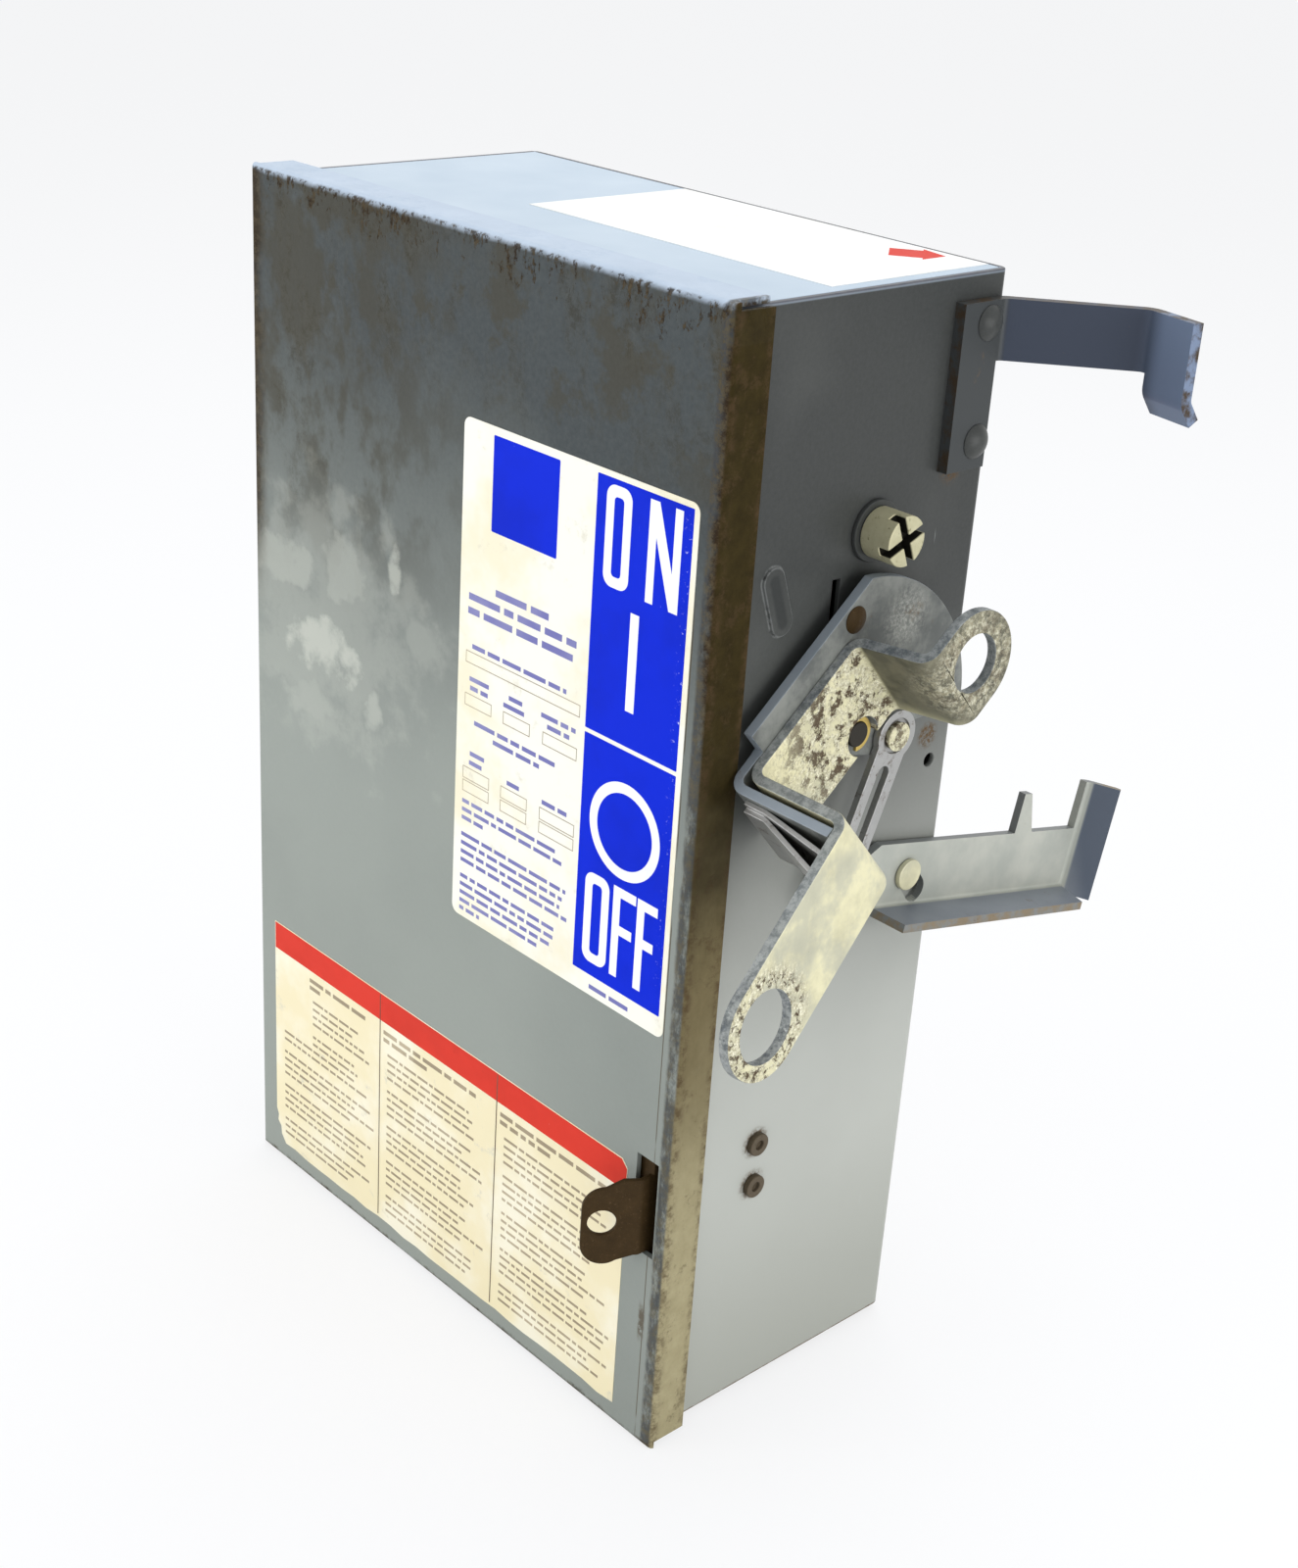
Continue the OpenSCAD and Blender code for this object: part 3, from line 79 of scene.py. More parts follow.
class EnclosureSettings(bpy.types.PropertyGroup):
    """Colours and wear of the painted case and cover."""

    # The cover's two enamels are the ends of painted light: the upper one dark as in shade, the lower one pale
    # as a painted reflection of the white floor.
    shaded_top_enamel: FloatVectorProperty(name="Upper enamel", description="Enamel at the top of the cover",
                                      subtype="COLOR", default=(0.038, 0.046, 0.050))
    lit_foot_enamel: FloatVectorProperty(name="Lower enamel", description="Enamel at the foot of the cover",
                                      subtype="COLOR", default=(0.290, 0.312, 0.280))
    case_enamel: FloatVectorProperty(name="Case enamel", description="Enamel of the case's side walls",
                                     subtype="COLOR", default=(0.200, 0.210, 0.200))
    rust: FloatVectorProperty(name="Rust", description="Dry rust along edges", subtype="COLOR",
                              default=(0.062, 0.038, 0.018))
    edge_break: FloatProperty(name="Edge break", description="Width of the broken sheet edges", unit="LENGTH",
                              default=0.35 * MM, min=0.0, max=1.0 * MM)
    inner_break: FloatProperty(name="Inner edge break", description="Width of the broken edges inside the case",
                               unit="LENGTH", default=0.25 * MM, min=0.0, max=1.0 * MM)


class HardwareSettings(bpy.types.PropertyGroup):
    """Colours of the handle, brackets and small hardware."""

    zinc: FloatVectorProperty(name="Zinc", description="Aged yellow zinc plate", subtype="COLOR",
                              default=(0.720, 0.680, 0.430))
    corrosion: FloatVectorProperty(name="Corrosion", description="Dark spots in the zinc", subtype="COLOR",
                                   default=(0.060, 0.042, 0.026))
    bracket: FloatVectorProperty(name="Bracket enamel", description="Enamel of hook, lever and rotor",
                                 subtype="COLOR", default=(0.215, 0.225, 0.205))
    hasp: FloatVectorProperty(name="Hasp", description="Dark oxidised steel of the padlock lug",
                              subtype="COLOR", default=(0.034, 0.020, 0.007))


class PlateSettings(bpy.types.PropertyGroup):
    """Sizes and colours of the plates stuck on the box."""

    plate_left: FloatProperty(name="Plate left", description="Left edge of the ON and OFF plate", unit="LENGTH",
                              default=2.75 * MM)
    plate_right: FloatProperty(name="Plate right", description="Right edge of the ON and OFF plate",
                               unit="LENGTH", default=105.3 * MM)
    plate_top: FloatProperty(name="Plate top", description="Top of the ON and OFF plate", unit="LENGTH",
                             default=132.0 * MM)
    plate_foot: FloatProperty(name="Plate foot", description="Foot of the ON and OFF plate", unit="LENGTH",
                              default=-35.0 * MM)
    film: FloatProperty(name="Film", description="Thickness of a plate", unit="LENGTH", default=0.16 * MM)
    ink: FloatProperty(name="Ink", description="Thickness of a printed layer", unit="LENGTH", default=0.05 * MM)
    blue: FloatVectorProperty(name="Blue", description="Blue of the switch panel", subtype="COLOR",
                              default=(0.0, 0.020, 0.62))
    cream: FloatVectorProperty(name="Cream", description="Aged white of the plates", subtype="COLOR",
                               default=(0.900, 0.880, 0.780))
    red: FloatVectorProperty(name="Red", description="Red of the header band", subtype="COLOR",
                             default=(0.680, 0.044, 0.026))


class StageSettings(bpy.types.PropertyGroup):
    """Light and floor of the stage."""

    key_power: FloatProperty(name="Key power", description="Power of the overhead lamp", unit="POWER",
                             default=12.0)
    side_power: FloatProperty(name="Side power", description="Power of the right hand lamp", unit="POWER",
                              default=9.0)
    front_power: FloatProperty(name="Front power", description="Power of the low front lamp", unit="POWER",
                               default=9.0)
    sky: FloatProperty(name="Sky", description="Strength of the room's light", default=0.70)
    floor_side: FloatProperty(name="Floor side", description="Half the side of the floor", unit="LENGTH",
                              default=14.0)


# ---------------------------------------------------------------- finishes

class Finish:
    """A procedural material in millimetres of the row frame, read from Object coordinates.

    Masks run from 0 to 1. A noise is given as its size, detail, roughness, shift and stretch.
    """

    def __init__(self, name):
        self.material = bpy.data.materials.new(name)
        self.material.use_nodes = True
        self.tree = self.material.node_tree
        self.tree.nodes.clear()
        coordinates = self.node("ShaderNodeTexCoord")
        scale = self.node("ShaderNodeVectorMath", operation="SCALE")
        scale.inputs["Scale"].default_value = 1.0 / MM
        self.link(coordinates.outputs["Object"], scale.inputs[0])
        self.mm = scale.outputs["Vector"]
        split = self.node("ShaderNodeSeparateXYZ")
        self.link(self.mm, split.inputs[0])
        self.x, self.y, self.z = split.outputs

    def node(self, kind, **settings):
        made = self.tree.nodes.new(kind)
        for key, value in settings.items():
            setattr(made, key, value)
        return made

    def link(self, source, target):
        self.tree.links.new(source, target)

    def feed(self, target, value):
        """Gives a socket its value: a link where that is a socket too, and a number or colour otherwise."""
        if isinstance(value, bpy.types.NodeSocket):
            self.link(value, target)
        elif hasattr(target.default_value, "__len__") and len(target.default_value) == 4 and len(value) == 3:
            target.default_value = (*value, 1.0)
        else:
            target.default_value = value

    def math(self, operation, a, b=0.0):
        made = self.node("ShaderNodeMath", operation=operation)
        self.feed(made.inputs[0], a)
        self.feed(made.inputs[1], b)
        return made.outputs[0]

    def times(self, a, b):
        return self.math("MULTIPLY", a, b)

    def over(self, a, b):
        return self.math("DIVIDE", a, b)

    def plus(self, a, b):
        return self.math("ADD", a, b)

    def minus(self, a, b):
        return self.math("SUBTRACT", a, b)

    def least(self, a, b):
        return self.math("MINIMUM", a, b)

    def size(self, a):
        return self.math("ABSOLUTE", a)

    def square(self, a):
        return self.math("MULTIPLY", a, a)

    def root(self, a):
        return self.math("SQRT", a)

    def noise(self, size, detail=4.0, roughness=0.6, shift=0.0, stretch=(1.0, 1.0, 1.0)):
        """Fractal noise from 0 to 1 whose largest lumps are about size millimetres."""
        mapping = self.node("ShaderNodeMapping")
        mapping.inputs["Location"].default_value = (shift, shift * 0.7, shift * 1.3)
        mapping.inputs["Scale"].default_value = stretch
        self.link(self.mm, mapping.inputs["Vector"])
        made = self.node("ShaderNodeTexNoise")
        made.inputs["Scale"].default_value = 1.0 / size
        made.inputs["Detail"].default_value = detail
        made.inputs["Roughness"].default_value = roughness
        self.link(mapping.outputs["Vector"], made.inputs["Vector"])
        return made.outputs["Fac"]

    def patches(self, low, high, *noise):
        """Patches of a noise: smooth step from 0 where it is at low to 1 at high."""
        return self.step(self.noise(*noise), low, high)

    def wander(self, value, reach, *noise):
        """The value pushed about by a noise of up to reach."""
        return self.plus(value, self.times(self.noise(*noise), reach))

    def sheared(self):
        """1 on the sheared edges of a sheet, from the attribute that mark_sheared writes."""
        return self.node("ShaderNodeAttribute", attribute_name="sheared").outputs["Fac"]

    def step(self, value, low, high):
        """Smooth step from 0 at low to 1 at high; low may be above high."""
        made = self.node("ShaderNodeMapRange", interpolation_type="SMOOTHSTEP")
        self.feed(made.inputs["Value"], value)
        flip = low > high
        made.inputs["From Min"].default_value = high if flip else low
        made.inputs["From Max"].default_value = low if flip else high
        made.inputs["To Min"].default_value = 1.0 if flip else 0.0
        made.inputs["To Max"].default_value = 0.0 if flip else 1.0
        return made.outputs["Result"]

    def near(self, point, inner, outer):
        """1 within inner millimetres of a point, falling to 0 at outer."""
        made = self.node("ShaderNodeVectorMath", operation="DISTANCE")
        self.link(self.mm, made.inputs[0])
        made.inputs[1].default_value = point
        return self.step(made.outputs["Value"], outer, inner)

    def both(self, *masks):
        """Where all the masks are: their product."""
        result = masks[0]
        for mask in masks[1:]:
            result = self.times(result, mask)
        return result

    def either(self, *masks):
        """Where any of the masks is: their largest."""
        result = masks[0]
        for mask in masks[1:]:
            result = self.math("MAXIMUM", result, mask)
        return result

    def mix(self, mask, a, b):
        """Colour that goes from a to b with the mask."""
        made = self.node("ShaderNodeMix", data_type="RGBA")
        self.feed(made.inputs[0], mask)
        self.feed(made.inputs[6], a)
        self.feed(made.inputs[7], b)
        return made.outputs[2]

    def tint(self, color, mask, share, over):
        """The colour with another laid over it by a share of the mask."""
        return self.mix(self.times(mask, share), color, over)

    def blend(self, mask, a, b):
        """Number that goes from a to b with the mask."""
        made = self.node("ShaderNodeMapRange")
        self.feed(made.inputs["Value"], mask)
        made.inputs["To Min"].default_value = a
        made.inputs["To Max"].default_value = b
        return made.outputs["Result"]

    def surface(self, color, rough, metal=0.0, height=None, depth=0.1, specular=0.16):
        """Ends the material; depth is the height of the relief in millimetres."""
        shader = self.node("ShaderNodeBsdfPrincipled")
        self.feed(shader.inputs["Base Color"], color)
        self.feed(shader.inputs["Roughness"], rough)
        self.feed(shader.inputs["Metallic"], metal)
        shader.inputs["Specular IOR Level"].default_value = specular
        if height is not None:
            bump = self.node("ShaderNodeBump")
            bump.inputs["Strength"].default_value = 1.0
            bump.inputs["Distance"].default_value = depth * MM
            self.feed(bump.inputs["Height"], height)
            self.link(bump.outputs["Normal"], shader.inputs["Normal"])
        output = self.node("ShaderNodeOutputMaterial")
        self.link(shader.outputs["BSDF"], output.inputs["Surface"])
        return self.material


def shade(color, factor):
    """The colour made darker or lighter, with no channel above 1."""
    return tuple(min(1.0, c * factor) for c in color)


# Pale smudges on the cover that are painted reflections: x, z, half width and half height in millimetres, and
# share.
PAINTED_REFLECTIONS = ((-72.0, 33.0, 21.0, 10.0, 1.0), (-95.0, 58.0, 24.0, 10.0, 0.55), (-60.0, 62.0, 15.0, 12.0, 0.5),
           (-36.0, 84.0, 6.0, 9.0, 0.35), (-31.0, 74.0, 3.5, 8.0, 0.8), (-43.0, 19.0, 5.0, 9.0, 0.6),
           (-80.0, 12.0, 17.0, 9.0, 0.4), (-12.0, 52.0, 13.0, 10.0, 0.3), (-75.0, 44.0, 62.0, 42.0, 0.28))


def painted_reflections(f):
    """Pale painted reflections on the cover: ellipses whose rims wander with a noise, each with its own share.
    """
    spots = []
    for x, z, half_width, half_height, share in PAINTED_REFLECTIONS:
        across, along = f.over(f.minus(f.x, x), half_width), f.over(f.minus(f.z, z), half_height)
        spread = f.plus(f.square(across), f.square(along))
        spread = f.plus(spread, f.times(f.minus(f.noise(15.0, 5.0, 0.60, x), 0.5), 5.5))
        spots.append(f.times(f.step(spread, 1.5, 0.1), share))
    return f.either(*spots)


def cover_finish(look):
    """Enamel in painted shade that darkens it towards the head, with brown bloom, rusty hems and pale smudges
    of painted reflection.
    """
    f = Finish("cover_enamel")
    half_x, half_z, face = COVER_HIGH.x / MM, COVER_HIGH.z / MM, FRONT / MM
    edge_x, edge_z = f.minus(half_x, f.size(f.x)), f.minus(half_z, f.size(f.z))
    depth = f.minus(half_z, f.z)
    front = f.step(f.y, face + 0.5, face + 0.1)
    speck = f.patches(0.40, 0.64, 3.2, 5.0, 0.8, 5.0)

    # Enamel in painted shade and light: dark towards the head and a little darker towards the right, pale
    # towards the foot as a painted reflection of the floor. Then its brown stains, the bloom of fine rust, and
    # the pale smudges, which are painted reflections.
    tone = f.minus(f.wander(f.step(f.z, 165.0, -15.0), 0.30, 70.0, 3.0, 0.5), 0.15)
    tone = f.minus(tone, f.times(f.step(f.x, 20.0, 105.0), 0.16))
    color = f.mix(tone, tuple(look.shaded_top_enamel), tuple(look.lit_foot_enamel))
    color = f.tint(color, f.noise(1.6, 3.0, 0.7), 0.10, shade(look.lit_foot_enamel, 1.5))
    stain = f.either(f.both(f.patches(0.46, 0.56, 34.0, 5.0, 0.62, 71.0, (1.0, 1.0, 0.7)),
                            f.step(f.z, 45.0, 110.0), f.step(f.x, 40.0, -60.0)),
                     f.both(f.patches(0.50, 0.60, 26.0, 5.0, 0.65, 83.0), f.step(f.z, 110.0, 160.0)))
    color = f.tint(color, stain, 0.62, (0.052, 0.045, 0.027))
    bloom = f.either(f.both(f.patches(0.46, 0.66, 13.0, 6.0, 0.72, 11.0, (1.0, 1.0, 0.45)),
                            f.step(f.z, 95.0, 182.0)),
                     f.both(f.patches(0.47, 0.68, 24.0, 6.0, 0.75, 40.0, (1.0, 1.0, 0.6)),
                            f.step(f.x, -35.0, -100.0), f.step(f.z, 20.0, 120.0)))
    color = f.tint(color, bloom, 0.18, (0.090, 0.080, 0.052))
    color = f.tint(color, f.both(bloom, speck), 0.45, (0.040, 0.031, 0.017))
    # Pale painted reflections on the front of the cover.
    color = f.tint(color, f.both(painted_reflections(f), front), 0.60, (0.60, 0.61, 0.53))

    # The head painted pale as lit from above, the fold at the right in painted shade mixed with brown rust
    # patches, and a scored line with a patch of rust beside it.
    head = f.step(f.wander(f.z, 1.6, 6.0, 5.0, 0.7, 57.0), half_z - 1.9, half_z + 0.4)
    color = f.mix(head, color, f.mix(f.noise(16.0, 4.0, 0.6, 31.0), (0.40, 0.48, 0.58), (0.56, 0.64, 0.74)))
    fold = f.both(f.step(f.wander(f.x, 1.6, 5.0, 5.0, 0.7, 67.0), half_x - 4.0, half_x - 2.4),
                  f.patches(0.30, 0.52, 7.0, 6.0, 0.75, 69.0, (1.0, 1.0, 0.4)))
    color = f.tint(color, fold, 0.85, f.mix(speck, (0.040, 0.042, 0.044), (0.085, 0.066, 0.032)))
    score = f.both(f.step(f.size(f.minus(edge_x, 6.6)), 0.30, 0.12), f.step(f.x, 90.0, 91.0),
                   f.step(f.z, 110.0, 90.0), f.patches(0.36, 0.44, 40.0, 3.0, 0.6, 73.0))
    patch = f.both(f.near((half_x - 7.6, face, -140.0), 3.0, 9.0),
                   f.step(f.size(f.minus(edge_x, 7.4)), 1.9, 0.8), f.patches(0.40, 0.52, 3.0, 6.0, 0.8, 77.0))
    color = f.tint(color, f.both(f.either(score, patch), front), 0.8, (0.080, 0.055, 0.028))

    # Rust along the hems, in flecks under the head and down the left edge.
    calm = f.times(f.step(f.z, 95.0, 20.0), 3.6)
    ragged = f.wander(f.least(f.plus(edge_x, calm), edge_z), -7.5, 7.0, 6.0, 0.75, 21.0)
    hem = f.both(f.step(ragged, -0.6, -3.2), f.step(f.z, half_z - 10.0, half_z - 12.0))
    fleck = f.minus(f.noise(2.6, 6.0, 0.8, 61.0, (1.0, 1.0, 0.5)), f.times(depth, 0.010))
    fleck = f.plus(fleck, f.times(f.minus(f.noise(11.0, 4.0, 0.6, 65.0), 0.5), 0.35))
    drip = f.both(f.step(fleck, 0.49, 0.55), f.step(depth, 24.0, 12.0), f.step(depth, 0.5, 1.3))
    left = f.both(f.step(f.wander(f.x, 10.0, 9.0, 6.0, 0.75, 91.0, (1.0, 1.0, 0.4)), -97.0, -106.0),
                  f.step(f.z, 30.0, 80.0), front)
    hem = f.either(hem, f.times(drip, 0.9), f.times(left, 0.9))
    color = f.mix(hem, color, f.mix(speck, shade(look.rust, 0.45), (0.085, 0.064, 0.036)))

    # The right flange: tan at the foot, going olive half way up and near black at the head, which is painted
    # shade over the tan, and rusty along its lips.
    flange = f.step(f.x, half_x - 0.9, half_x - 0.3)
    tan = f.mix(f.noise(6.0, 6.0, 0.7, 3.0), (0.235, 0.200, 0.105), (0.430, 0.380, 0.230))
    olive = f.mix(f.noise(7.0, 6.0, 0.7, 43.0, (1.0, 1.0, 0.5)), (0.080, 0.062, 0.026), (0.190, 0.152, 0.076))
    dark = f.mix(f.noise(5.0, 6.0, 0.7, 7.0), (0.010, 0.006, 0.001), (0.050, 0.036, 0.009))
    tan = f.mix(f.step(f.wander(f.z, 60.0, 30.0, 4.0, 0.6, 47.0), -95.0, 15.0), tan, olive)
    tan = f.mix(f.step(f.wander(f.z, 90.0, 20.0, 4.0, 0.6, 37.0), 28.0, 112.0), tan, dark)
    blotch = f.patches(0.54, 0.66, 9.0, 6.0, 0.78, 9.0)
    lips = f.either(f.step(f.y, face + 5.5, face + 2.0), f.step(f.y, face + 12.2, face + 14.6))
    lips = f.both(lips, f.patches(0.40, 0.66, 4.0, 6.0, 0.75, 17.0))
    tan = f.tint(tan, f.either(f.times(blotch, 0.6), lips), 0.75, shade(look.rust, 1.1))
    color = f.mix(flange, color, tan)

    rusty = f.either(hem, f.both(flange, f.either(blotch, lips)), f.both(bloom, speck))
    rough = f.blend(f.either(rusty, f.times(flange, 0.7)), 0.42, 0.85)
    relief = f.plus(f.times(f.noise(0.9, 2.0, 0.5), 0.16), f.both(rusty, f.noise(1.1, 4.0, 0.8, 2.0)))
    return f.surface(color, rough, height=relief, depth=0.14, specular=0.10)


# The long emboss on the right wall: its middle as y and z, its tilt, and the wall's outer face as x.
EMBOSS_MIDDLE = (-86.4, 99.1)
EMBOSS_TILT = math.radians(19.4)
WALL = 107.9
# Rust round the wall's fasteners: middle, then the reach of full rust and of its last specks.
RUSTED = (((WALL, -73.8, -87.4), 3.4, 6.6), ((WALL, -73.8, -103.4), 3.4, 6.6),
          ((WALL, -11.9, 39.8), 2.5, 5.6), ((WALL, -16.0, 127.0), 1.5, 6.0))


def emboss_reach(f):
    """Distance on the wall from the emboss's middle line, a straight run of 7 mm to each side."""
    y, z = f.minus(f.y, EMBOSS_MIDDLE[0]), f.minus(f.z, EMBOSS_MIDDLE[1])
    c, s = math.cos(EMBOSS_TILT), math.sin(EMBOSS_TILT)
    across = f.plus(f.times(y, c), f.times(z, s))
    along = f.minus(f.times(z, c), f.times(y, s))
    past = f.math("MAXIMUM", f.minus(f.size(along), 7.0), 0.0)
    return f.root(f.plus(f.square(across), f.square(past)))


def case_finish(look):
    """Smooth grey enamel with rust specks along the sheet edges and round the fasteners."""
    f = Finish("case_enamel")
    half_z, mouth = CASE_HIGH.z / MM, CASE_LOW.y / MM
    edge_x = f.minus(CASE_HIGH.x / MM, f.size(f.x))
    head = f.step(f.z, half_z - 1.2, half_z - 0.2)
    back = f.step(f.y, -0.6, -0.1)
    wall = f.step(f.x, WALL - 0.8, WALL - 0.4)

    # Enamel in painted shade and light: dark at the head, pale lower down and a little darker again towards the
    # foot. The top is painted pale as lit, with darker rims along its edges, and the emboss has a painted
    # highlight on its rim and painted shade inside it.
    tone = f.minus(f.wander(f.step(f.z, 110.0, -105.0), 0.2, 60.0, 3.0, 0.5, 8.0), 0.10)
    color = f.mix(tone, shade(look.case_enamel, 0.19), (0.440, 0.448, 0.405))
    color = f.tint(color, f.step(f.z, -80.0, -175.0), 0.75, (0.330, 0.335, 0.290))
    color = f.tint(color, f.noise(1.5, 3.0, 0.7), 0.05, shade(look.case_enamel, 2.4))
    color = f.mix(head, color, f.mix(f.noise(30.0, 3.0, 0.5, 3.0), (0.40, 0.50, 0.60), (0.56, 0.65, 0.73)))
    rim = f.both(head, f.either(f.step(f.y, -2.2, -1.6), f.step(edge_x, 3.0, 2.6)))
    color = f.mix(rim, color, f.mix(f.noise(4.0, 5.0, 0.7, 45.0), (0.055, 0.062, 0.080), (0.150, 0.150, 0.160)))
    reach = emboss_reach(f)
    # A pale painted highlight along the emboss's rim, and painted shade inside it.
    painted_highlight = f.both(wall, f.step(f.size(f.minus(reach, 4.3)), 0.7, 0.1),
                    f.patches(0.34, 0.56, 4.0, 5.0, 0.7, 49.0))
    color = f.tint(color, painted_highlight, 0.45, (0.300, 0.310, 0.300))
    color = f.tint(color, f.both(wall, f.step(reach, 2.6, 1.2)), 0.55, (0.022, 0.024, 0.024))
    scratch = f.patches(0.72, 0.76, 5.0, 5.0, 0.6, 15.0, (1.0, 1.0, 0.10))
    color = f.tint(color, scratch, 0.35, shade(look.case_enamel, 2.2))

    # Rust by the nearest sheet edge. On a face that lies in an edge's plane that edge is sent far away.
    far = 50.0
    edge_z = f.plus(f.minus(half_z, f.size(f.z)), f.times(head, far))
    edge_z = f.least(edge_z, f.plus(edge_x, f.times(f.minus(1.0, f.either(head, back)), far)))
    edge_y = f.least(f.plus(f.size(f.y), f.times(back, far)), f.minus(f.y, mouth))
    ragged = f.wander(f.least(edge_z, edge_y), -4.2, 5.0, 6.0, 0.75, 21.0)
    lip = f.both(f.step(f.y, mouth + 1.0, mouth + 0.5), f.step(edge_x, 2.4, 3.2))
    hem = f.both(f.step(ragged, -1.2, -2.4), f.minus(1.0, f.times(lip, 0.75)))
    foot = f.both(f.step(f.z, 0.9 - half_z, 0.3 - half_z), f.patches(0.36, 0.50, 8.0, 5.0, 0.7, 25.0))
    spots = [f.both(f.near(point, inner, outer), f.patches(0.40, 0.58, 1.8, 5.0, 0.8, outer))
             for point, inner, outer in RUSTED]
    rusty = f.either(hem, foot, *spots)
    color = f.mix(rusty, color, f.mix(f.noise(1.4, 4.0, 0.7), look.rust, (0.16, 0.10, 0.05)))
    relief = f.plus(f.times(f.noise(0.9, 2.0, 0.5), 0.16), f.both(rusty, f.noise(0.9, 4.0, 0.8, 2.0)))
    return f.surface(color, f.blend(rusty, 0.34, 0.85), height=relief, depth=0.12)


def bracket_finish(look):
    """Satin grey enamel of the pressed brackets: the lever below, the rotor above it, the hook at the top."""
    f = Finish("bracket_enamel")
    cut = f.sheared()
    color = f.mix(f.noise(28.0, 4.0, 0.6, 4.0), shade(look.bracket, 0.85), shade(look.bracket, 1.30))
    color = f.tint(color, f.noise(1.2, 3.0, 0.7), 0.08, shade(look.bracket, 2.1))

    # The rotor, with a painted highlight of pale specks at its head, and grey on its cut edges.
    rotor = f.mix(f.patches(0.36, 0.62, 20.0, 5.0, 0.65, 51.0), (0.120, 0.127, 0.120), (0.240, 0.247, 0.225))
    painted_highlight = f.both(f.near((114.0, -39.0, 88.0), 2.0, 13.0), f.patches(0.44, 0.60, 1.4, 5.0, 0.8, 53.0))
    rotor = f.tint(rotor, painted_highlight, 0.8, (0.46, 0.46, 0.41))
    rotor = f.tint(rotor, cut, 0.8, (0.300, 0.340, 0.380))
    color = f.mix(f.both(f.step(f.z, 14.0, 18.0), f.step(f.z, 112.0, 106.0)), color, rotor)

    # The lever in painted light and shade: its web painted pale as lit, its flange a bluish painted shade with
    # a darker painted shade on its turned end, and its cut edges.
    lever = f.step(f.z, 18.0, 14.0)
    flange = f.both(lever, f.step(f.x, 113.2, 114.2))
    lit_web = f.tint((0.470, 0.475, 0.415), f.patches(0.35, 0.65, 26.0, 4.0, 0.6, 55.0), 0.7, (0.330, 0.345, 0.310))
    color = f.mix(lever, color, lit_web)
    flange_shade = f.mix(f.noise(18.0, 4.0, 0.6, 57.0), (0.145, 0.162, 0.188), (0.235, 0.255, 0.280))
    color = f.mix(flange, color, flange_shade)
    color = f.mix(f.both(flange, f.step(f.y, 66.0, 72.0)), color, (0.100, 0.118, 0.150))
    color = f.mix(f.both(lever, cut), color, (0.190, 0.200, 0.195))
    color = f.mix(f.both(flange, cut, f.patches(0.36, 0.60, 6.0, 5.0, 0.7, 59.0)), color, (0.210, 0.165, 0.105))

    # The hook in painted shade: its plate by the wall and its arm dark, its end a paler bluish shade, each
    # painted for how it faces the light.
    hook = f.mix(f.step(f.x, 111.6, 113.0), (0.056, 0.060, 0.060), (0.052, 0.062, 0.086))
    hook = f.mix(f.step(f.x, 140.0, 150.0), hook, (0.180, 0.228, 0.325))
    hook = f.mix(f.both(cut, f.patches(0.40, 0.60, 7.0, 5.0, 0.7, 63.0)), hook, (0.060, 0.042, 0.026))
    color = f.mix(f.step(f.z, 105.0, 125.0), color, hook)

    # Fine rust on all of them.
    bloom = f.both(f.patches(0.60, 0.72, 17.0, 6.0, 0.75, 13.0), f.patches(0.42, 0.60, 1.7, 5.0, 0.8, 6.0))
    color = f.tint(color, bloom, 0.85, (0.17, 0.105, 0.050))
    relief = f.plus(f.times(f.noise(0.8, 2.0, 0.5), 0.2), f.both(bloom, f.noise(0.8, 4.0, 0.8)))
    return f.surface(color, f.blend(bloom, 0.36, 0.80), metal=0.10, height=relief, depth=0.10, specular=0.12)


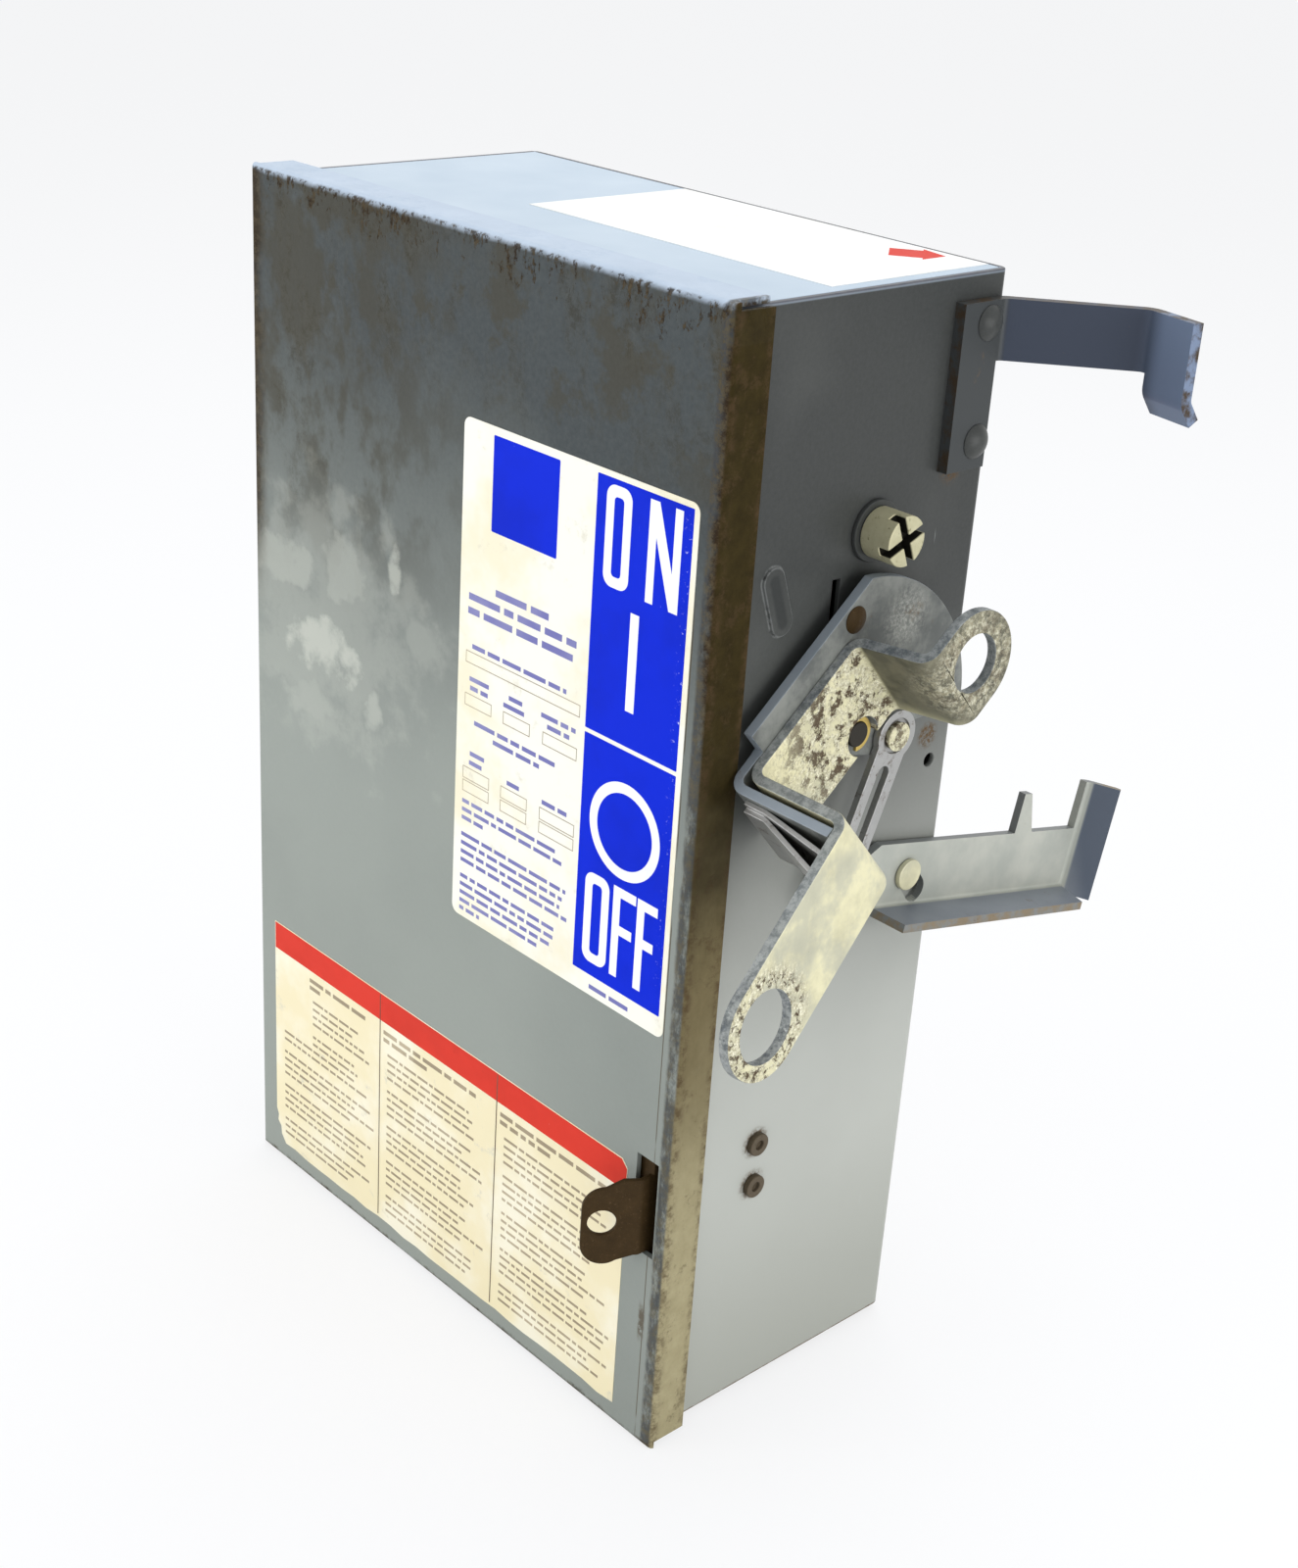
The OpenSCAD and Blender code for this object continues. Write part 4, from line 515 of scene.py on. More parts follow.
def zinc_finish(look):
    """Aged zinc plate: cream bloom over grey, eaten through in dark spots at the hub and round the eyes."""
    f = Finish("corroded_zinc")
    marks = {m["name"]: tuple(v / MM for v in m["pos_m"]) for m in frame["record"]["mounts"]}
    hub, lower_eye, upper_eye = (117.0, -60.0, 62.0), marks["lower_eye"], marks["upper_eye"]

    # The patina, the wing above the hub darkened by painted shade, and a grey zone on the strap below it.
    patina = f.mix(f.patches(0.30, 0.62, 16.0, 5.0, 0.65, 3.0), shade(look.zinc, 0.72), tuple(look.zinc))
    patina = f.tint(patina, f.noise(1.3, 4.0, 0.8, 7.0), 0.35, (0.80, 0.76, 0.58))
    wing = f.both(f.step(f.x, 120.0, 122.5), f.step(f.z, 58.0, 66.0), f.step(f.x, 156.0, 145.0))
    wing_shade = f.mix(f.patches(0.35, 0.62, 9.0, 4.0, 0.6, 41.0), (0.066, 0.066, 0.052), (0.150, 0.142, 0.100))
    patina = f.tint(patina, wing, 0.95, wing_shade)
    grey = f.both(f.step(f.z, -12.0, 8.0), f.step(f.z, 50.0, 40.0), f.patches(0.36, 0.58, 14.0, 4.0, 0.6, 43.0))
    patina = f.tint(patina, grey, 0.55, (0.370, 0.380, 0.330))

    def attacked(at_hub, at_lower, at_upper, share):
        """Where corrosion reaches round the hub and the eyes, each with its full and its last reach."""
        return f.either(f.both(f.near(hub, *at_hub), f.step(f.x, 122.0, 120.0)), f.near(lower_eye, *at_lower),
                        f.times(f.near(upper_eye, *at_upper), share))

    # The chalky crust, and the dark spots in it, smaller at the lower eye.
    crust = f.both(attacked((20.0, 46.0), (15.0, 21.5), (10.0, 22.0), 0.7),
                   f.patches(0.42, 0.56, 2.6, 6.0, 0.8, 12.0))
    chalk = f.mix(f.patches(0.38, 0.60, 1.1, 5.0, 0.8), (0.86, 0.83, 0.64), (0.42, 0.38, 0.25))
    color = f.mix(crust, patina, chalk)
    deep, eye = attacked((16.0, 44.0), (14.0, 19.0), (9.0, 20.0), 0.5), f.near(lower_eye, 24.0, 28.0)
    eaten = f.either(f.both(deep, f.patches(0.50, 0.56, 6.5, 7.0, 0.80, 24.0), f.minus(1.0, eye)),
                     f.both(deep, eye, f.patches(0.52, 0.58, 2.6, 6.0, 0.80, 26.0)))
    spots = f.either(eaten, f.patches(0.66, 0.72, 3.0, 6.0, 0.85, 33.0))
    color = f.mix(spots, color, f.mix(f.noise(1.6, 4.0, 0.7), tuple(look.corrosion), (0.15, 0.11, 0.07)))
    # Bare metal on the cut edges.
    bare = f.mix(f.patches(0.36, 0.62, 3.2, 5.0, 0.8, 45.0), (0.130, 0.150, 0.165), (0.330, 0.350, 0.350))
    color = f.tint(color, f.sheared(), 0.9, bare)
    worn = f.either(crust, spots)
    relief = f.minus(f.times(f.both(crust, f.noise(1.0, 5.0, 0.85)), 1.2), spots)
    rough, metal = f.blend(worn, 0.42, 0.88), f.blend(worn, 0.35, 0.0)
    return f.surface(color, rough, metal, height=relief, depth=0.12)


def hasp_finish(look):
    """Brown oxidised steel with a dull shine and faint grain."""
    f = Finish("oxidised_hasp")
    color = f.mix(f.noise(6.0, 5.0, 0.7, 2.0), shade(look.hasp, 0.65), shade(look.hasp, 1.9))
    color = f.tint(color, f.patches(0.55, 0.7, 1.5, 5.0, 0.8), 0.4, (0.14, 0.085, 0.045))
    rough, grain = f.blend(f.noise(3.0), 0.42, 0.70), f.noise(0.7, 4.0, 0.7)
    return f.surface(color, rough, metal=0.15, height=grain, depth=0.08, specular=0.10)


def metal_finish(name, base, dark, rough, metal, stain, size):
    """Bare or plated metal with cloudy tarnish, fine pits and uneven polish."""
    f = Finish(name)
    color = f.mix(f.noise(size, 5.0, 0.7, 2.0), base, shade(base, 0.78))
    tarnish = f.patches(0.62 - 0.2 * stain, 0.80 - 0.2 * stain, size * 0.45, 6.0, 0.8, 9.0)
    color = f.tint(color, tarnish, 0.9, dark)
    relief = f.minus(f.times(f.noise(0.5, 3.0, 0.6), 0.4), f.times(tarnish, 0.6))
    polish = f.blend(f.either(tarnish, f.times(f.noise(3.0), 0.6)), *rough)
    return f.surface(color, polish, metal, height=relief, depth=0.06)


def slotted_finish():
    """Dull cream brass of the release screw, with painted shade, near black, inside its crossed slots."""
    f = Finish("slotted_brass")
    low, high = (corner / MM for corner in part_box("release_screw"))
    middle, radius = (low + high) / 2, (high.y - low.y) / 2
    color = f.mix(f.noise(4.0, 5.0, 0.7, 2.0), (0.40, 0.37, 0.22), (0.62, 0.59, 0.40))
    spots = f.patches(0.56, 0.68, 2.4, 6.0, 0.8, 9.0)
    color = f.tint(color, spots, 0.8, (0.12, 0.11, 0.05))
    reach = f.root(f.plus(f.square(f.minus(f.y, middle.y)), f.square(f.minus(f.z, middle.z))))
    # Painted shade, near black, in the recesses of the crossed slots.
    slot_shade = f.both(f.step(reach, radius - 0.25, radius - 0.5), f.step(f.x, high.x - 0.2, high.x - 0.7))
    color = f.mix(slot_shade, color, (0.010, 0.009, 0.006))
    rough, grain = f.blend(f.either(spots, slot_shade), 0.42, 0.9), f.noise(0.8, 4.0, 0.7)
    return f.surface(color, rough, metal=0.35, height=grain, depth=0.06)


def mould_finish(name, base, light, rough, fleck):
    """Moulded resin: flow clouds, fine mineral flecks and a soft sheen."""
    f = Finish(name)
    color = f.mix(f.noise(24.0, 4.0, 0.6), base, light)
    color = f.tint(color, f.patches(0.62, 0.72, 0.8, 2.0, 0.5, 5.0), fleck, (0.75, 0.72, 0.66))
    sheen = f.blend(f.noise(7.0), rough - 0.06, rough + 0.10)
    return f.surface(color, sheen, height=f.noise(0.6, 3.0, 0.6), depth=0.05)


def film_finish(name, base, aged, wear, scratch=0.0, under=None):
    """Printed film: uneven ageing, soft stains, and scratches that show what is beneath."""
    f = Finish(name)
    color = f.mix(f.patches(0.42, 0.68, 34.0, 4.0, 0.6, 6.0), base, aged)
    color = f.tint(color, f.patches(0.60, 0.74, 11.0, 5.0, 0.7, 14.0), wear, shade(aged, 0.72))
    if scratch > 0.0:
        lines = f.patches(0.70, 0.74, 3.4, 6.0, 0.75, 19.0, (1.0, 1.0, 0.28))
        at_right_edge = f.step(f.x, 99.0, 103.5)
        chips = f.both(f.patches(0.60, 0.66, 2.0, 5.0, 0.8, 29.0), at_right_edge)
        color = f.tint(color, f.either(lines, chips), scratch, under)
    sheen, ripple = f.blend(f.noise(8.0), 0.34, 0.52), f.noise(5.0, 3.0, 0.5)
    return f.surface(color, sheen, height=ripple, depth=0.04, specular=0.06)


# Metals: name, base, tarnish, range of roughness, metallic, amount of tarnish, size of its clouds.
METALS = {
    "bright_steel": ("plain_steel", (0.42, 0.42, 0.41), (0.10, 0.075, 0.05), (0.32, 0.62), 0.85, 0.5, 9.0),
    "brass": ("dull_brass", (0.66, 0.60, 0.36), (0.17, 0.13, 0.07), (0.34, 0.62), 0.7, 0.45, 5.0),
    "copper_parts": ("copper", (0.72, 0.34, 0.19), (0.20, 0.09, 0.05), (0.26, 0.48), 0.95, 0.25, 9.0),
    "lug_aluminium": ("lug_alloy", (0.66, 0.67, 0.68), (0.30, 0.30, 0.30), (0.34, 0.55), 0.9, 0.1, 9.0),
    # The operating shaft's end is painted near black as the shade of the hole it sits in.
    "oiled_steel": ("oiled_steel", (0.030, 0.026, 0.020), (0.012, 0.010, 0.008), (0.40, 0.60), 0.3, 0.3, 9.0),
    "spring_brass": ("spring_brass", (0.60, 0.44, 0.13), (0.10, 0.07, 0.03), (0.30, 0.50), 0.6, 0.4, 3.0),
    "browned_screw": ("browned_screw", (0.110, 0.085, 0.055), (0.040, 0.028, 0.016), (0.45, 0.70), 0.3, 0.4,
                      3.0),
}
# Mouldings: name, base, light clouds, roughness, share of flecks.
MOULDINGS = {
    "black_moulding": ("black_resin", (0.014, 0.014, 0.015), (0.034, 0.033, 0.032), 0.45, 0.06),
    "red_moulding": ("red_resin", (0.185, 0.020, 0.013), (0.270, 0.040, 0.026), 0.42, 0.10),
    "fibre_board": ("fibre_sheet", (0.40, 0.37, 0.29), (0.55, 0.52, 0.43), 0.75, 0.25),
    "fuse_tube": ("fuse_paper", (0.50, 0.40, 0.22), (0.62, 0.52, 0.32), 0.55, 0.12),
}


def make_finishes(scene):
    """One material for each slot of the record, those of single nodes, and those of the printed films."""
    look, gear, plate = scene.enclosure, scene.hardware, scene.plates
    films = {
        "cream": ("cream_film", tuple(plate.cream), (0.86, 0.80, 0.60), 0.5),
        "yellowed": ("yellowed_film", (0.84, 0.75, 0.50), (0.89, 0.84, 0.67), 0.8),
        "white": ("white_film", (0.90, 0.90, 0.88), (0.86, 0.85, 0.80), 0.2),
        "blue": ("blue_ink", tuple(plate.blue), shade(plate.blue, 0.86), 0.2, 0.85, (0.80, 0.82, 0.88)),
        "red": ("red_ink", tuple(plate.red), shade(plate.red, 0.90), 0.3, 0.5, (0.85, 0.72, 0.60)),
        "letter": ("letter_ink", (0.92, 0.92, 0.92), (0.86, 0.86, 0.90), 0.15),
        "blue_print": ("blue_print", (0.18, 0.18, 0.42), (0.30, 0.30, 0.50), 0.2),
        "brown_print": ("brown_print", (0.33, 0.27, 0.18), (0.50, 0.42, 0.29), 0.3),
        "dark_print": ("dark_print", (0.10, 0.07, 0.05), (0.16, 0.12, 0.08), 0.3),
    }
    made = {"painted_steel": case_finish(look), "painted_cover": cover_finish(look),
            "bracket_paint": bracket_finish(gear), "latch_steel": hasp_finish(gear),
            "zinc_plate": zinc_finish(gear), "slotted_brass": slotted_finish()}
    for finish, table in ((metal_finish, METALS), (mould_finish, MOULDINGS), (film_finish, films)):
        made.update({key: finish(*values) for key, values in table.items()})
    return made


# ---------------------------------------------------------------- mesh tools

MERGED = 0.002 * MM               # points nearer than this are one
FLAT = math.radians(0.4)          # faces that meet at less are one flat
SHARP = math.radians(32)          # edges that turn by more stay sharp
BROKEN_FROM = math.radians(40)    # edges that turn by more are broken

def new_piece(name, vertices, faces, material, body):
    """Makes a piece at the origin from an array of points in metres and its faces."""
    mesh = bpy.data.meshes.new(name)
    mesh.from_pydata(np.asarray(vertices, float).tolist(), [], [list(face) for face in faces])
    mesh.update()
    mesh.materials.append(material)
    made = bpy.data.objects.new(name, mesh)
    bpy.context.scene.collection.objects.link(made)
    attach(made, body)
    return made


def rounded_outline(x0, x1, z0, z1, radius, steps=8):
    """Outline of a rectangle with round corners, each a quarter circle: centre plus r (cos a, sin a)."""
    angle = np.linspace(0.0, math.pi / 2, steps)
    arc = np.stack([np.cos(angle), np.sin(angle)], 1) * radius
    parts = []
    for k, (cx, cz) in enumerate(((x1 - radius, z1 - radius), (x0 + radius, z1 - radius),
                                  (x0 + radius, z0 + radius), (x1 - radius, z0 + radius))):
        c, s = math.cos(k * math.pi / 2), math.sin(k * math.pi / 2)
        parts.append(arc @ np.array([[c, s], [-s, c]]) + (cx, cz))
    return np.concatenate(parts)


def slab(outline, low, high):
    """Closed slab on a flat outline (u, v): one ring at w = low, one at w = high, walls and two caps."""
    count = len(outline)
    ring = np.arange(count)
    after = np.roll(ring, -1)
    points = np.concatenate([np.column_stack([outline, np.full(count, low)]),
                             np.column_stack([outline, np.full(count, high)])])
    walls = np.stack([ring, after, after + count, ring + count], 1).tolist()
    return points, walls + [ring[::-1].tolist(), (ring + count).tolist()]


def band(outer, inner, low, high):
    """Closed flat ring between two outlines with the same number of points: four loops joined by quads."""
    count = len(outer)
    loops = [np.column_stack([outer, np.full(count, low)]), np.column_stack([outer, np.full(count, high)]),
             np.column_stack([inner, np.full(count, high)]), np.column_stack([inner, np.full(count, low)])]
    ring = np.arange(count)
    after = np.roll(ring, -1)
    faces = []
    for k in range(4):
        a, b = k * count, ((k + 1) % 4) * count
        faces += np.stack([ring + a, after + a, after + b, ring + b], 1).tolist()
    return np.concatenate(loops), faces


def bars(boxes, low, high):
    """Many small slabs from rows of (u0, u1, v0, v1), as one mesh: eight corners each."""
    boxes = np.asarray(boxes, float)
    u = boxes[:, [0, 1, 1, 0, 0, 1, 1, 0]]
    v = boxes[:, [2, 2, 3, 3, 2, 2, 3, 3]]
    w = np.tile([low] * 4 + [high] * 4, (len(boxes), 1))
    corners = np.stack([u, v, w], 2).reshape(-1, 3)
    pattern = np.array([[0, 3, 2, 1], [4, 5, 6, 7], [0, 1, 5, 4], [1, 2, 6, 5], [2, 3, 7, 6], [3, 0, 4, 7]])
    faces = (pattern[None] + 8 * np.arange(len(boxes))[:, None, None]).reshape(-1, 4)
    return corners, faces.tolist()


def on_front(points):
    """Places (u, v, w) on the cover: u is X, v is Z, and w stands out of the cover's face."""
    return np.column_stack([points[:, 0], FRONT - points[:, 2], points[:, 1]])


def on_top(points):
    """Places (u, v, w) on the top: u is X, v is Y, and w is height above the top."""
    return np.column_stack([points[:, 0], points[:, 1], TOP + points[:, 2]])


def cover_print(name, shape, finish):
    """A piece stuck to the cover, from (points, faces)."""
    return new_piece(name, on_front(shape[0]), shape[1], FINISHES[finish], "cover")


def top_print(name, shape, finish):
    """A piece stuck to the top of the case, from (points, faces)."""
    return new_piece(name, on_top(shape[0]), shape[1], FINISHES[finish], "case")


def joined(*shapes):
    """One (points, faces) from several, with the faces' numbers moved on by the points before them."""
    points, faces, base = [], [], 0
    for p, f in shapes:
        points.append(p)
        faces += [[i + base for i in face] for face in f]
        base += len(p)
    return np.concatenate(points), faces


def words(rng, rows, size, gap=0.9):
    """Rows of printed lines as runs of short bars: each row is (left, right, height of its line)."""
    boxes = []
    for left, right, level in rows:
        cursor = left
        while cursor < right - 1.0:
            length = min(float(rng.uniform(1.6, 7.0)) * size, right - cursor)
            boxes.append((cursor, cursor + length, level - size / 2, level + size / 2))
            cursor += length + gap * size
    return np.array(boxes) * MM


def mark_sheared(mesh, gauge):
    """Writes 1 on the faces where a sheet was cut: inwards from such a face, the far side is past its gauge."""
    nudge, past_gauge = 0.01 * MM, 1.25
    mesh.calc_loop_triangles()
    count = len(mesh.loop_triangles)
    owner, normal = np.empty(count, int), np.empty(count * 3)
    corners, points = np.empty(count * 3, int), np.empty(len(mesh.vertices) * 3)
    mesh.loop_triangles.foreach_get("polygon_index", owner)
    mesh.loop_triangles.foreach_get("normal", normal)
    mesh.loop_triangles.foreach_get("vertices", corners)
    mesh.vertices.foreach_get("co", points)
    points, corners, normal = points.reshape(-1, 3), corners.reshape(-1, 3), normal.reshape(-1, 3)
    middle = points[corners].mean(1)
    tree = BVHTree.FromPolygons(points.tolist(), corners.tolist())
    faces, first = np.unique(owner, return_index=True)
    reach = [tree.ray_cast(Vector(middle[k] - nudge * normal[k]), Vector(-normal[k]))[3] or 0.0 for k in first]
    value = np.zeros(len(mesh.polygons))
    value[faces] = np.array(reach) > past_gauge * gauge
    mesh.attributes.new("sheared", "FLOAT", "FACE").data.foreach_set("value", value)


def finished_copy(node, material, width, segments=2):
    """A copy of a node in its place, with its doubles merged, its flats made whole and its edges broken."""
    source = frame["nodes"][node]
    mesh = source.data.copy()
    work = bmesh.new()
    work.from_mesh(mesh)
    bmesh.ops.remove_doubles(work, verts=work.verts, dist=MERGED)
    bmesh.ops.dissolve_limit(work, angle_limit=FLAT, verts=work.verts, edges=work.edges)
    work.to_mesh(mesh)
    work.free()
    mesh.materials.clear()
    mesh.materials.append(material)
    made = bpy.data.objects.new(node + "_finished", mesh)
    bpy.context.scene.collection.objects.link(made)
    mesh.polygons.foreach_set("use_smooth", np.ones(len(mesh.polygons), bool))
    mesh.set_sharp_from_angle(angle=SHARP)
    if width > 0:
        broken = made.modifiers.new("broken_edges", "BEVEL")
        broken.width = width
        broken.segments = segments
        broken.limit_method = "ANGLE"
        broken.angle_limit = BROKEN_FROM
        broken.use_clamp_overlap = node in CRAMPED_NODES
        broken.harden_normals = False
        even = made.modifiers.new("even_faces", "WEIGHTED_NORMAL")
        even.keep_sharp = False
    bpy.context.view_layer.update()
    final = bpy.data.meshes.new_from_object(made.evaluated_get(bpy.context.evaluated_depsgraph_get()))
    made.modifiers.clear()
    made.data = final
    if node in SHEET_GAUGE:
        mark_sheared(final, SHEET_GAUGE[node])
    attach(made, BODY_OF[node])
    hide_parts(node)
    return made


# ---------------------------------------------------------------- pieces

FINISHES = {}
ENCLOSURE_NODES = ("case_shell", "top_end_plate", "bottom_end_plate", "cover", "cover_latch", "latch_guide",
                   "case_hinge_leaves", "cover_hinge_leaves", "hinge_pins", "hanger_hook", "hanger_rivets")
MECHANISM_NODES = ("latch_lever", "lever_stud", "lever_pin", "lever_washer", "handle_strap", "rotor_plate",
                   "rotor_springs", "rotor_rivet", "link_stud", "interlock_link", "shaft_clip", "shaft_bush",
                   "operating_shaft", "release_screw", "release_collar", "ground_screws")
# The operating shaft gets a near black finish, painted shade of the hole round its end.
OWN_FINISH = {"operating_shaft": "oiled_steel", "release_collar": "painted_steel", "shaft_clip": "spring_brass",
              "release_screw": "slotted_brass", "ground_screws": "browned_screw"}
# Nodes with edges so close together that a bevel has to be held back.
CRAMPED_NODES = ("latch_lever", "cover", "ground_jaw", "hanger_hook", "crossbar")
THIN_NODES = ("interlock_link", "rotor_springs", "shaft_clip", "lever_stud", "link_stud", "lever_washer")
THIN_SHARE = 0.6
# Thickness of the sheets whose cut edges show another colour, with a little to spare.
SHEET_GAUGE = {"handle_strap": 3.4 * MM, "rotor_plate": 3.6 * MM, "latch_lever": 2.8 * MM,
               "hanger_hook": 3.8 * MM}


class TAPBOX_OT_enclosure(bpy.types.Operator):
    """Finish the case, the cover and what is fixed to them"""

    bl_idname = "tapbox.enclosure"
    bl_label = "Enclosure"

    def execute(self, context):
        for node in ENCLOSURE_NODES:
            finished_copy(node, FINISHES[SLOT_OF[node]], context.scene.enclosure.edge_break)
        return {"FINISHED"}


class TAPBOX_OT_mechanism(bpy.types.Operator):
    """Finish the handle, the rotor, the link, the lever and their pins"""

    bl_idname = "tapbox.mechanism"
    bl_label = "Operating mechanism"

    def execute(self, context):
        broken = context.scene.enclosure.edge_break
        for node in MECHANISM_NODES:
            finish = OWN_FINISH.get(node, SLOT_OF[node])
            finished_copy(node, FINISHES[finish], broken * (THIN_SHARE if node in THIN_NODES else 1.0))
        return {"FINISHED"}


class TAPBOX_OT_interior(bpy.types.Operator):
    """Finish the switch, the fuses and the plug-in contacts"""

    bl_idname = "tapbox.interior"
    bl_label = "Switch, fuses and contacts"

    def execute(self, context):
        broken = context.scene.enclosure.inner_break
        for node in sorted(frame["nodes"]):
            if node not in ENCLOSURE_NODES and node not in MECHANISM_NODES:
                finished_copy(node, FINISHES[SLOT_OF[node]], broken, 1)
        return {"FINISHED"}


# Height of fine print above its plate, as a share of a printed layer's.
FINE = 0.6
# Sizes on the plates are in millimetres: x and z on the cover, x and y on the top.
PANEL_SIDES = (63.6, 103.2)
ON_PANEL, OFF_PANEL = (52.4, 130.2), (-28.0, 51.0)
BLUE_SQUARE = (17.0, 47.2, 99.6, 129.4)
LETTER_N = ((85.8, 98.4), (88.9, 98.4), (88.9, 118.2), (95.6, 98.4), (99.1, 98.4), (99.1, 128.5), (96.0, 128.5),
            (96.0, 109.3), (89.6, 128.5), (85.8, 128.5))
BAR_MARK = ((80.4, 63.4), (84.0, 63.4), (84.0, 93.4), (80.4, 93.4))
# Printed lines of the switch plate: left, right and height, in falling size.
HEAD_LINES = ((20.0, 45.0, 80.8), (7.2, 58.0, 76.2), (7.0, 58.0, 71.6))
SMALL_LINES = ((9.5, 54.5, 60.2), (8.6, 18.2, 49.2), (9.0, 17.8, 46.2), (28.0, 34.5, 49.2),
               (25.5, 37.5, 46.2), (43.5, 59.5, 49.2), (46.5, 56.8, 46.2), (11.5, 52.5, 35.0),
               (21.0, 43.5, 31.8), (9.8, 17.0, 24.0), (9.5, 17.0, 20.8), (28.5, 34.5, 20.8),
               (45.5, 58.5, 20.8), (71.5, 90.5, -32.0))
TINY_LEFT = 6.6
TINY_LINES = ((53.5, 6.6), (56.0, 3.6), (18.0, 0.7), (58.5, -5.2), (57.0, -8.3), (56.0, -11.4), (61.0, -14.4),
              (55.0, -20.2), (53.5, -23.2), (52.0, -26.2), (46.0, -29.2), (17.0, -32.0))
# Empty boxes of the switch plate: left, right, foot and head.
BOXES = ((6.5, 61.0, 54.2, 58.2), (6.5, 19.8, 39.8, 44.0), (25.5, 38.5, 39.8, 44.0), (44.5, 60.5, 39.8, 44.0),
         (6.5, 19.8, 14.6, 18.8), (25.5, 38.5, 14.6, 18.8), (44.5, 61.0, 14.6, 18.8), (6.5, 19.8, 10.0, 14.0),
         (25.5, 38.5, 10.0, 14.0), (44.5, 61.0, 10.0, 14.0))


class TAPBOX_OT_switch_plate(bpy.types.Operator):
    """Make the cream plate with its blue ON and OFF panel"""

    bl_idname = "tapbox.switch_plate"
    bl_label = "ON and OFF plate"

    def execute(self, context):
        plate = context.scene.plates
        film, ink = plate.film, plate.ink
        base = rounded_outline(plate.plate_left, plate.plate_right, plate.plate_foot, plate.plate_top, 3.0 * MM)
        cover_print("switch_plate", slab(base, 0.0, film), "cream")
        layer, fine = (film - ink, film + ink), (film - ink, film + FINE * ink)
        panels = [slab(square_outline(*PANEL_SIDES, *span, 0.2), *layer) for span in (ON_PANEL, OFF_PANEL)]
        cover_print("switch_panels", joined(*panels), "blue")
        w0, w1 = film, film + 2 * ink
        letters = joined(
            letter_o(67.8, 78.5, 98.4, 128.5, 3.3, w0, w1),
            slab(np.array(LETTER_N) * MM, w0, w1),
            slab(np.array(BAR_MARK) * MM, w0, w1),
            letter_ring(83.3, 25.4, 15.5, 3.4, w0, w1),
            letter_o(67.5, 78.5, -23.5, 6.9, 3.3, w0, w1),
            letter_f(80.3, 90.3, -23.5, 6.9, w0, w1),
            letter_f(91.0, 99.8, -23.5, 6.9, w0, w1),
        )
        cover_print("switch_letters", letters, "letter")
        rng = np.random.default_rng(4)
        tiny = [(TINY_LEFT, right, level) for right, level in TINY_LINES]
        text = [words(rng, *group) for group in ((HEAD_LINES, 2.2), (SMALL_LINES, 1.5), (tiny, 1.35))]
        cover_print("switch_plate_print", bars(np.concatenate(text), *fine), "blue_print")
        cover_print("switch_plate_boxes", bars(box_lines(BOXES, 0.28), *fine), "brown_print")
        cover_print("plain_blue_square", slab(square_outline(*BLUE_SQUARE, 0.3), *layer), "blue")
        return {"FINISHED"}


def square_outline(x0, x1, z0, z1, radius):
    """Outline in metres of a rectangle in millimetres whose corners are only just rounded."""
    return rounded_outline(x0 * MM, x1 * MM, z0 * MM, z1 * MM, radius * MM, 2)


def box_lines(boxes, t):
    """The four lines, t thick, of each empty box: foot, head, left and right."""
    rows = [((x0, x1, z0, z0 + t), (x0, x1, z1 - t, z1),
             (x0, x0 + t, z0 + t, z1 - t), (x1 - t, x1, z0 + t, z1 - t)) for x0, x1, z0, z1 in boxes]
    return np.array(rows).reshape(-1, 4) * MM


def letter_o(x0, x1, z0, z1, stroke, w0, w1):
    """Tall letter O: the space between a round cornered rectangle and one taken in by the stroke."""
    return band(rounded_outline(x0 * MM, x1 * MM, z0 * MM, z1 * MM, 3.6 * MM, 8),
                rounded_outline((x0 + stroke) * MM, (x1 - stroke) * MM, (z0 + stroke) * MM, (z1 - stroke) * MM,
                                1.3 * MM, 8), w0, w1)


def letter_ring(x, z, radius, stroke, w0, w1, steps=72):
    """Circle mark: the space between two circles, centre plus r (cos a, sin a)."""
    angle = np.linspace(0.0, 2 * math.pi, steps, endpoint=False)
    circle = np.stack([np.cos(angle), np.sin(angle)], 1)
    return band((circle * radius + (x, z)) * MM, (circle * (radius - stroke) + (x, z)) * MM, w0, w1)


def letter_f(x0, x1, z0, z1, w0, w1):
    """Tall letter F as one outline: a stem, a head bar and a middle bar."""
    stem, bar, middle, short = 3.2, 3.2, z0 + 14.6, 1.2
    outline = [(x0, z0), (x0 + stem, z0), (x0 + stem, middle), (x1 - short, middle), (x1 - short, middle + bar),
               (x0 + stem, middle + bar), (x0 + stem, z1 - bar), (x1, z1 - bar), (x1, z1), (x0, z1)]
    return slab(np.array(outline) * MM, w0, w1)


# The notice plate on the cover, and the white plate with its arrow on the top.
NOTICE_LEFT, NOTICE_RIGHT, NOTICE_FOOT, NOTICE_HEAD = -101.8, 94.2, -180.0, -84.6
HEADER_FOOT = -95.6
CUT_CORNER = 2.6
TORN = ((0.0, 14.0), (1.2, 11.5), (0.8, 8.8), (2.8, 7.0), (3.2, 3.6))
DIVIDERS = ((-36.2, -35.8), (29.3, 29.7))
PROUD = 1.6  # height of the dividers, which also cross the header, as a share of a printed layer's
COLUMNS = ((-98.5, -39.0), (-34.0, 26.5), (31.5, 91.5))
HEAD_LEVELS = ((-99.6, 6.0), (-102.6, 34.0))
TEXT_HEAD, LINE_PITCH, GROUP_PITCH, GROUP = -108.0, 3.1, 5.6, 4
TOP_PLATE = ((-28.0, -69.0), (101.8, -69.0), (101.8, -2.4), (-28.0, -2.4))
ARROW = ((-9.0, -6.2), (2.2, -6.2), (2.2, -8.8), (9.6, 0.0), (2.2, 8.8), (2.2, 6.2), (-9.0, 6.2))
ARROW_MIDDLE, ARROW_TURN, ARROW_SCALE = (81.9, -11.6), math.radians(40), 0.90


